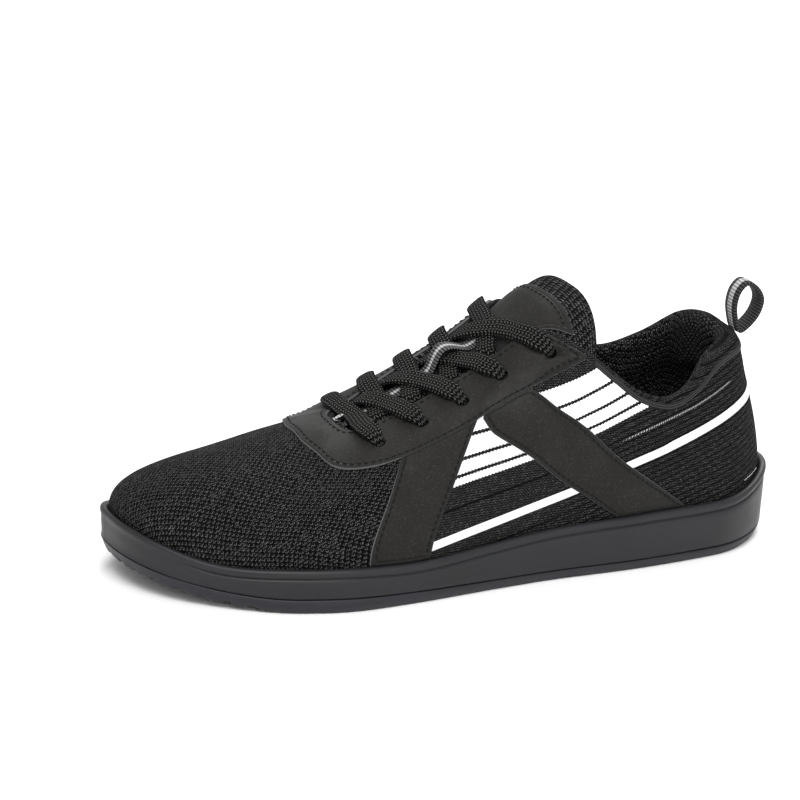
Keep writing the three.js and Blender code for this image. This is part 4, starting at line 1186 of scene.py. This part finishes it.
def makeTongue():
    at = mix(tongue["at"][0], tongue["end"], np.linspace(0, 1, tongue["rows"]) ** tongue["crowding"])[:, None]
    flaps = np.array(tongue["flap"])[None, :]
    near, far = tongueEdge(at / 2, flaps), tongueEdge(1 - at / 2, flaps)[:, ::-1]
    across = np.linspace(0, 1, tongue["across"])[None, :]
    grid = np.concatenate([near, tonguePoint(at, across), far], axis=1)
    normals = gridNormals(grid, (0, 0, 1))
    hollow = (1 - roundShare(edgeDistance(grid), tongue["round"])) * size["tongue"] / 2
    outer = grid - normals * hollow[..., None]
    inner = grid - normals * (size["tongue"] - hollow - 0.02 * mm)[..., None]
    maps = {"fabric": np.stack([arcGrid(grid, 1), arcGrid(grid, 0)], -1)}
    piece = dress(shellPiece("tonguePad", outer, inner, maps), materials["tongue"], "tongue_knit", "tongue")


tonguePanel = {
    "top": 0.462, "front": 0.6, "near": 0.07, "far": 0.93, "rows": 60, "bands": 50, "thick": 0.8 * mm,
    "base": 0.05 * mm, "radius": 0.4 * mm,
}


def makeTonguePanel():
    look = tonguePanel
    at = mix(look["top"], look["front"], edgeSpaced(look["rows"]))[:, None]
    across = mix(look["near"], look["far"], edgeSpaced(look["bands"]))[None, :]
    patchPiece("tonguePanel", lambda distance: onTongue(at, across, distance), materials["overlay"],
               "overlay", ["tongue_panel"], look["base"], look["thick"], look["radius"])


makeTongue()
makeTonguePanel()
print("tongue made")


# Flat bands swept along a curve: ribbon, laces and the stripe on them
def curveThrough(points, count):
    points = np.asarray(points, float)
    steps = np.sqrt(np.linalg.norm(np.diff(points, axis=0), axis=1))
    knots = np.concatenate([[0], np.cumsum(steps)])
    slopes = np.gradient(points, knots, axis=0)
    at = np.linspace(0, knots[-1], count)
    i = np.clip(np.searchsorted(knots, at, side="right") - 1, 0, len(knots) - 2)
    span = (knots[i + 1] - knots[i])[:, None]
    u = (at[:, None] - knots[i][:, None]) / span
    return cubic(points, slopes, i, span, u), i + u[:, 0]


# A band through rows of place, up, width and thickness
def bandPiece(name, rows, material, slot, nodes=(), count=90, sides=24, flatness=3.0):
    points, ups, widths, thicks = (np.array(column, float).reshape(len(rows), -1) for column in zip(*rows))
    curve, place = curveThrough(points, count)
    low = np.clip(place.astype(int), 0, len(rows) - 2)
    u = ease(place - low)[:, None]
    up, width, thick = (values[low] * (1 - u) + values[low + 1] * u for values in (ups, widths, thicks))
    along = unit(np.gradient(curve, axis=0))
    across = unit(np.cross(along, unit(up)))
    up = np.cross(across, along)
    turn = np.arange(sides) / sides * fullTurn
    wide, high = (np.sign(wave) * np.abs(wave) ** (2 / power) * 0.5
                  for wave, power in ((np.cos(turn), flatness), (np.sin(turn), 2.2)))
    grid = (curve[:, None] + across[:, None] * wide[:, None] * width[:, None]
            + up[:, None] * high[:, None] * thick[:, None])
    girth = np.append(wide, wide[0]) * np.mean(width)
    maps = np.stack(np.broadcast_arrays(girth, arcGrid(curve)[:, None]), -1)
    walls, ends, corners = tubeFaces(count, sides)
    uvs = {"fabric": [pickUv(maps, corners), np.zeros((2, sides, 2))]}
    return dress(faceOut(makeMesh(name, grid, [walls, ends], uvs)), material, slot, *nodes)


# The hook at the ribbon's rear: place along the tongue, height in millimetres, quarter turns of its up
ribbon = {
    "from": 0.57, "to": 0.86, "across": 0.54, "width": 8 * mm, "thick": 0.8 * mm, "archAt": 0.63,
    "archReach": 0.036, "archHeight": 6.2 * mm, "bed": 1.1 * mm, "stripeWidth": 2.0 * mm,
    "stripeThick": 0.25 * mm,
    "hook": [(0.885, 1.9, 0.0), (0.92, 2.4, 0.3), (0.945, 3.4, 0.9), (0.93, 4.4, 1.6), (0.905, 4.5, 2.0)],
}


def makeRibbon():
    across = ribbon["across"]
    at = np.linspace(ribbon["from"], ribbon["to"], 40)
    far = np.clip(np.abs(at - ribbon["archAt"]) / ribbon["archReach"], 0, 1)
    height = ribbon["bed"] + ribbon["archHeight"] * (1 - far ** 2) ** 2
    ups = tongueUp(at, across)
    rows = [(*row, ribbon["width"], ribbon["thick"]) for row in zip(onTongue(at, across, height), ups)]
    bandPiece("laceKeeper", rows, materials["ribbon"], "ribbon", ["tongue_ribbon"], 160, 16, 8.0)
    hookAt, hookHeight, fold = np.array(ribbon["hook"]).T
    fold = fold[:, None] * np.pi / 2
    turned = unit(tongueUp(hookAt, across) * np.cos(fold) + np.array([1.0, 0, 0]) * np.sin(fold))
    lifted = np.concatenate([onTongue(at, across, height + ribbon["thick"] / 2),
                             onTongue(hookAt, across, hookHeight * mm)])
    rows = [(*row, ribbon["stripeWidth"], ribbon["stripeThick"])
            for row in zip(lifted, np.concatenate([ups, turned]))]
    bandPiece("keeperStripe", rows, materials["reflective"], "ribbon", (), 180, 12, 6.0)


# Lace: one flat braid, a bar through the front holes and four crossings
lace = {
    "width": 8.6 * mm, "thick": 2.0 * mm, "onStay": 2.5 * mm, "onTongue": 2.7 * mm, "underArch": 1.5 * mm,
    "barLift": 0.5 * mm, "over": 0.72, "edgeLevel": 0.985, "archedCross": 2, "flatness": 3.4, "sides": 28,
}
# The end that the overlays hide: its start ahead of the edge, its level, and its place across the tongue
laceStart = {
    "ahead": 0.012, "level": 0.93, "under": 0.4 * mm, "across": 0.985, "lift": 0.6 * mm,
    "widths": (7 * mm, 7.2 * mm), "thicks": (0.6 * mm, 0.96 * mm),
}
# From the throat towards a hole: way ahead of its middle, height over it, width and thickness, and its up
# as shares of the overlay's normal and of the way
laceEnd = [
    (6.2, 2.55, 8.3, 2.0, 1.0, 0.0), (2.9, 2.5, 6.6, 2.5, 1.0, 0.1), (1.1, 1.3, 4.9, 3.1, 0.8, -0.5),
    (0.3, -0.6, 4.4, 3.4, 0.3, -1.0), (0.1, -3.2, 4.4, 3.4, 0.0, -1.0),
]
# Over the tongue: place across it, share of the lift over the other strand, width and thickness
laceSpan = [(0.87, 0.0, 8.4, 2.0), (0.7, 0.75, 8.6, 2.0), (0.5, 1.0, 8.7, 2.0), (0.3, 0.75, 8.6, 2.0)]


def stayPlace(side, at, level, distance):
    share = shareOn(side, at)
    return onUpper(share, level, distance), upperNormal(share, level)


def tonguePlace(at, across, distance):
    return onTongue(at, across, distance), tongueUp(at, across)


def holeEnd(side, index, towards):
    middle, normal = stayPlace(side, laceHoles["at"][index], laceHoles["level"][index], 0.0)
    way = unit(towards - middle)
    way = unit(way - normal * (way @ normal))
    return [(middle + (way * ahead + normal * height) * mm, unit(normal * over + way * on), width * mm,
             thick * mm) for ahead, height, width, thick, over, on in laceEnd]


def laceBand(name, rows, node, count):
    bandPiece(name, rows, materials["lace"], "lace", [node], count, lace["sides"], lace["flatness"])


def makeStrand(index, side, lift, name):
    start, ahead = laceHoles["rise"][index], laceHoles["edge"][index + 1]
    bed = lace["underArch"] if index == lace["archedCross"] else lace["onTongue"]

    def acrossFrom(place):
        return place if side < 0 else 1 - place

    hidden = [
        stayPlace(-side, start + laceStart["ahead"], laceStart["level"], -size["wall"] - laceStart["under"]),
        tonguePlace(start, acrossFrom(laceStart["across"]), laceStart["lift"]),
    ]
    rows = [(*place, width, thick)
            for place, width, thick in zip(hidden, laceStart["widths"], laceStart["thicks"])]
    first = laceSpan[0][0]
    for place, share, width, thick in laceSpan:
        at = mix(start, ahead, lace["over"] * (first - place) / first)
        rows.append((*tonguePlace(at, acrossFrom(place), bed + lift * share), width * mm, thick * mm))
    edge = stayPlace(side, mix(start, ahead, lace["over"]), lace["edgeLevel"], lace["onStay"])
    rows.append((*edge, lace["width"], lace["thick"]))
    laceBand(name, rows + holeEnd(side, index + 1, edge[0]), f"lace_cross_{index + 1}", 170)


def makeBar():
    edge = laceHoles["edge"][0]
    near, far = (stayPlace(side, edge, lace["edgeLevel"], lace["onStay"]) for side in (-1, 1))
    middle = tonguePlace(edge, 0.5, lace["onTongue"] + lace["barLift"])
    rows = [(*place, lace["width"], lace["thick"]) for place in (near, middle, far)]
    laceBand("laceBar", holeEnd(-1, 0, near[0])[::-1] + rows + holeEnd(1, 0, far[0]), "lace_bar", 190)


makeRibbon()
makeBar()
for index in range(len(laceHoles["at"]) - 1):
    makeStrand(index, -1, lace["thick"] * 0.95, f"laceStrand{index + 1}.lateral")
    makeStrand(index, 1, 0.0, f"laceStrand{index + 1}.medial")
print("laces made")


# Pull loop: ribbon bent into a drop on the heel's collar
loop = {
    "back": [0.0, -0.1, -0.12, -0.05, 0.09, 0.26, 0.4, 0.33, 0.12],
    "up": [0.0, 0.27, 0.5, 0.74, 0.86, 0.79, 0.56, 0.28, 0.05],
    "height": 23.5 * mm, "width": 8.5 * mm, "thick": 1.5 * mm, "footTurn": 0.1, "seat": 0.1 * mm,
    "steps": 120, "stripeWidth": 3.4 * mm, "stripeThick": 0.25 * mm,
}


def loopRoute():
    foot = toplineRim(np.array(0.0), loop["footTurn"])
    clear = (loop["seat"] + loop["thick"] / 2) * math.sqrt(0.5)
    x, z = (foot[k] + clear + loop["height"] * np.array(loop[name]) for k, name in ((0, "back"), (2, "up")))
    points = points3(x, 0.0, z)
    curve, place = curveThrough(np.concatenate([points[-3:], points, points[:4]]), 900)
    kept = curve[(place >= 3) & (place < 3 + len(points))]
    run = arcGrid(kept)
    whole = run[-1] + np.linalg.norm(kept[0] - kept[-1])
    return pointsAt(np.linspace(0, whole, loop["steps"], endpoint=False), run, kept)


def loopBand(name, width, thick, outward, material, nodes=()):
    route = loopRoute()
    along = unit(np.roll(route, -1, axis=0) - np.roll(route, 1, axis=0))
    out = points3(-along[:, 2], 0.0, along[:, 0])
    section = [(-1, -0.7), (-0.96, -1), (0.96, -1), (1, -0.7), (1, 0.7), (0.96, 1), (-0.96, 1), (-1, 0.7)]
    grid = np.stack([route + out * (outward + high * thick / 2) + np.array([0, wide * width / 2, 0])
                     for wide, high in section], 1)
    quads, corners = gridFaces(len(route), len(section), wrapRows=True, wrapCols=True)
    run = np.arange(len(route) + 1) * np.linalg.norm(route[1] - route[0])
    girth = np.array([wide * width / 2 for wide, _ in section + section[:1]])
    maps = np.stack(np.broadcast_arrays(girth, run[:, None]), -1)
    piece = faceOut(makeMesh(name, grid, [quads], {"fabric": [pickUv(maps, corners)]}))
    dress(piece, material, "ribbon", *nodes)


loopBand("pullLoopRibbon", loop["width"], loop["thick"], 0.0, materials["loopRibbon"], ["pull_loop"])
loopBand("pullLoopStripe", loop["stripeWidth"], loop["stripeThick"],
         (loop["thick"] + loop["stripeThick"]) / 2 - 0.05 * mm, materials["reflective"])
print("pull loop made")


# Stitches: short threads laid along a path of points with its outward normals
stitch = {"length": 1.9 * mm, "gap": 0.95 * mm, "radius": 0.38 * mm}
heelStitch = {"length": 0.9 * mm, "gap": 0.5 * mm, "radius": 0.16 * mm}
# A thread's rings, as share of its length and of its radius
threadRings = [(0.0, 0.35), (0.12, 0.8), (0.5, 1.0), (0.88, 0.8), (1.0, 0.35)]
threadSides = 6
seams = {
    "inset": 2.3 * mm, "lift": 0.05 * mm, "stayEnds": 0.004, "staySteps": 700, "stayBands": 40,
    "belowStay": 0.01, "overRim": 0.02, "panelTop": 0.0105, "panelSides": 0.03, "panelSteps": 60,
}
heelRow = {"along": [0, 0.45, 1], "share": [0.0529, 0.0422, 0.0276], "level": [0.035, 0.028, 0.012]}


def threadsAlong(points, normals, look=stitch):
    run = arcGrid(points)
    share, swell = np.array(threadRings).T
    turn = np.arange(threadSides)[:, None] / threadSides * fullTurn
    threads = []
    for start in np.arange(look["gap"], run[-1] - look["length"], look["length"] + look["gap"]):
        place, normal = (pointsAt(start + share * look["length"], run, rows) for rows in (points, normals))
        normal = unit(normal)
        across = unit(np.cross(unit(place[-1] - place[0]), normal))
        place += normal * (look["radius"] * (0.55 * np.sin(math.pi * share) - 0.25))[:, None]
        circle = np.cos(turn) * across[:, None] + np.sin(turn) * normal[:, None]
        threads.append(place[:, None] + circle * (look["radius"] * swell)[:, None, None])
    return threads


def joinThreads(name, threads, material):
    points = np.concatenate(threads).reshape(-1, 3)
    rings = len(threadRings)
    tubes = [tubeFaces(rings, threadSides, first=k * rings * threadSides)[:2] for k in range(len(threads))]
    faces = [np.concatenate(group) for group in zip(*tubes)]
    uvs = {"fabric": [points[group][..., [0, 2]] for group in faces]}
    dress(faceOut(makeMesh(name, points, faces, uvs)), material, "overlay")


def threadsOn(line, lift, look=stitch):
    return threadsAlong(onUpper(*line, lift), upperNormal(*line), look)


# The shares and levels at a distance inside one long edge of a patch
def insetLine(grid, distance, fromStart):
    share, level = grid
    arc = arcGrid(onUpper(share, level), 1)
    if not fromStart:
        share, level, arc = share[:, ::-1], level[:, ::-1], (arc[:, -1:] - arc)[:, ::-1]
    return np.array([[np.interp(distance, run, row) for run, row in zip(arc, rows)]
                     for rows in (share, level)])


def makeStitches():
    ends = stay["corner"] / 2 + seams["stayEnds"]
    share = mix(ends, 1 - ends, np.linspace(0, 1, seams["staySteps"]))
    patch = patchGrid(share, np.linspace(0, 1, seams["stayBands"]), stayEdge(share), stay["top"])
    black = []
    for fromStart in (True, False):
        black += threadsOn(insetLine(patch, seams["inset"], fromStart), size["overlay"] + seams["lift"])
    for side in (-1, 1):
        for rows in straps.values():
            for fromStart in (True, False):
                line = insetLine(strapGrid(rows, side), seams["inset"], fromStart)
                shown = (line[1] < stayEdge(line[0]) - seams["belowStay"]) & (line[1] > seams["overRim"])
                black += threadsOn(line[:, shown], strapLook["thick"] + seams["lift"])
    panel = tonguePanel
    at, side = panel["top"] + seams["panelTop"], seams["panelSides"]
    across = np.linspace(panel["near"] + side, panel["far"] - side, seams["panelSteps"])
    black += threadsAlong(*tonguePlace(at, across, panel["base"] + panel["thick"] + seams["lift"]))
    joinThreads("blackStitches", black, materials["thread"])
    along = np.linspace(0, 1, 30)
    heelLine = [np.interp(along, heelRow["along"], heelRow[name]) for name in ("share", "level")]
    joinThreads("whiteStitches", threadsOn(heelLine, seams["lift"], heelStitch), materials["whiteThread"])


makeStitches()
print("stitches made")


def makeFloor():
    half = studio["floorSize"] / 2
    data = bpy.data.meshes.new("studioFloor")
    corners = [(-half, -half, 0), (half, -half, 0), (half, half, 0), (-half, half, 0)]
    data.from_pydata(corners, [], [(0, 1, 2, 3)])
    material, _, shader = startMaterial("paleFloor", roughness=0.7, specular=0.2)
    feed(shader, {"Base Color": studio["floorColour"]})
    data.materials.append(material)
    addObject("studioFloor", data)


makeFloor()
print("floor made")
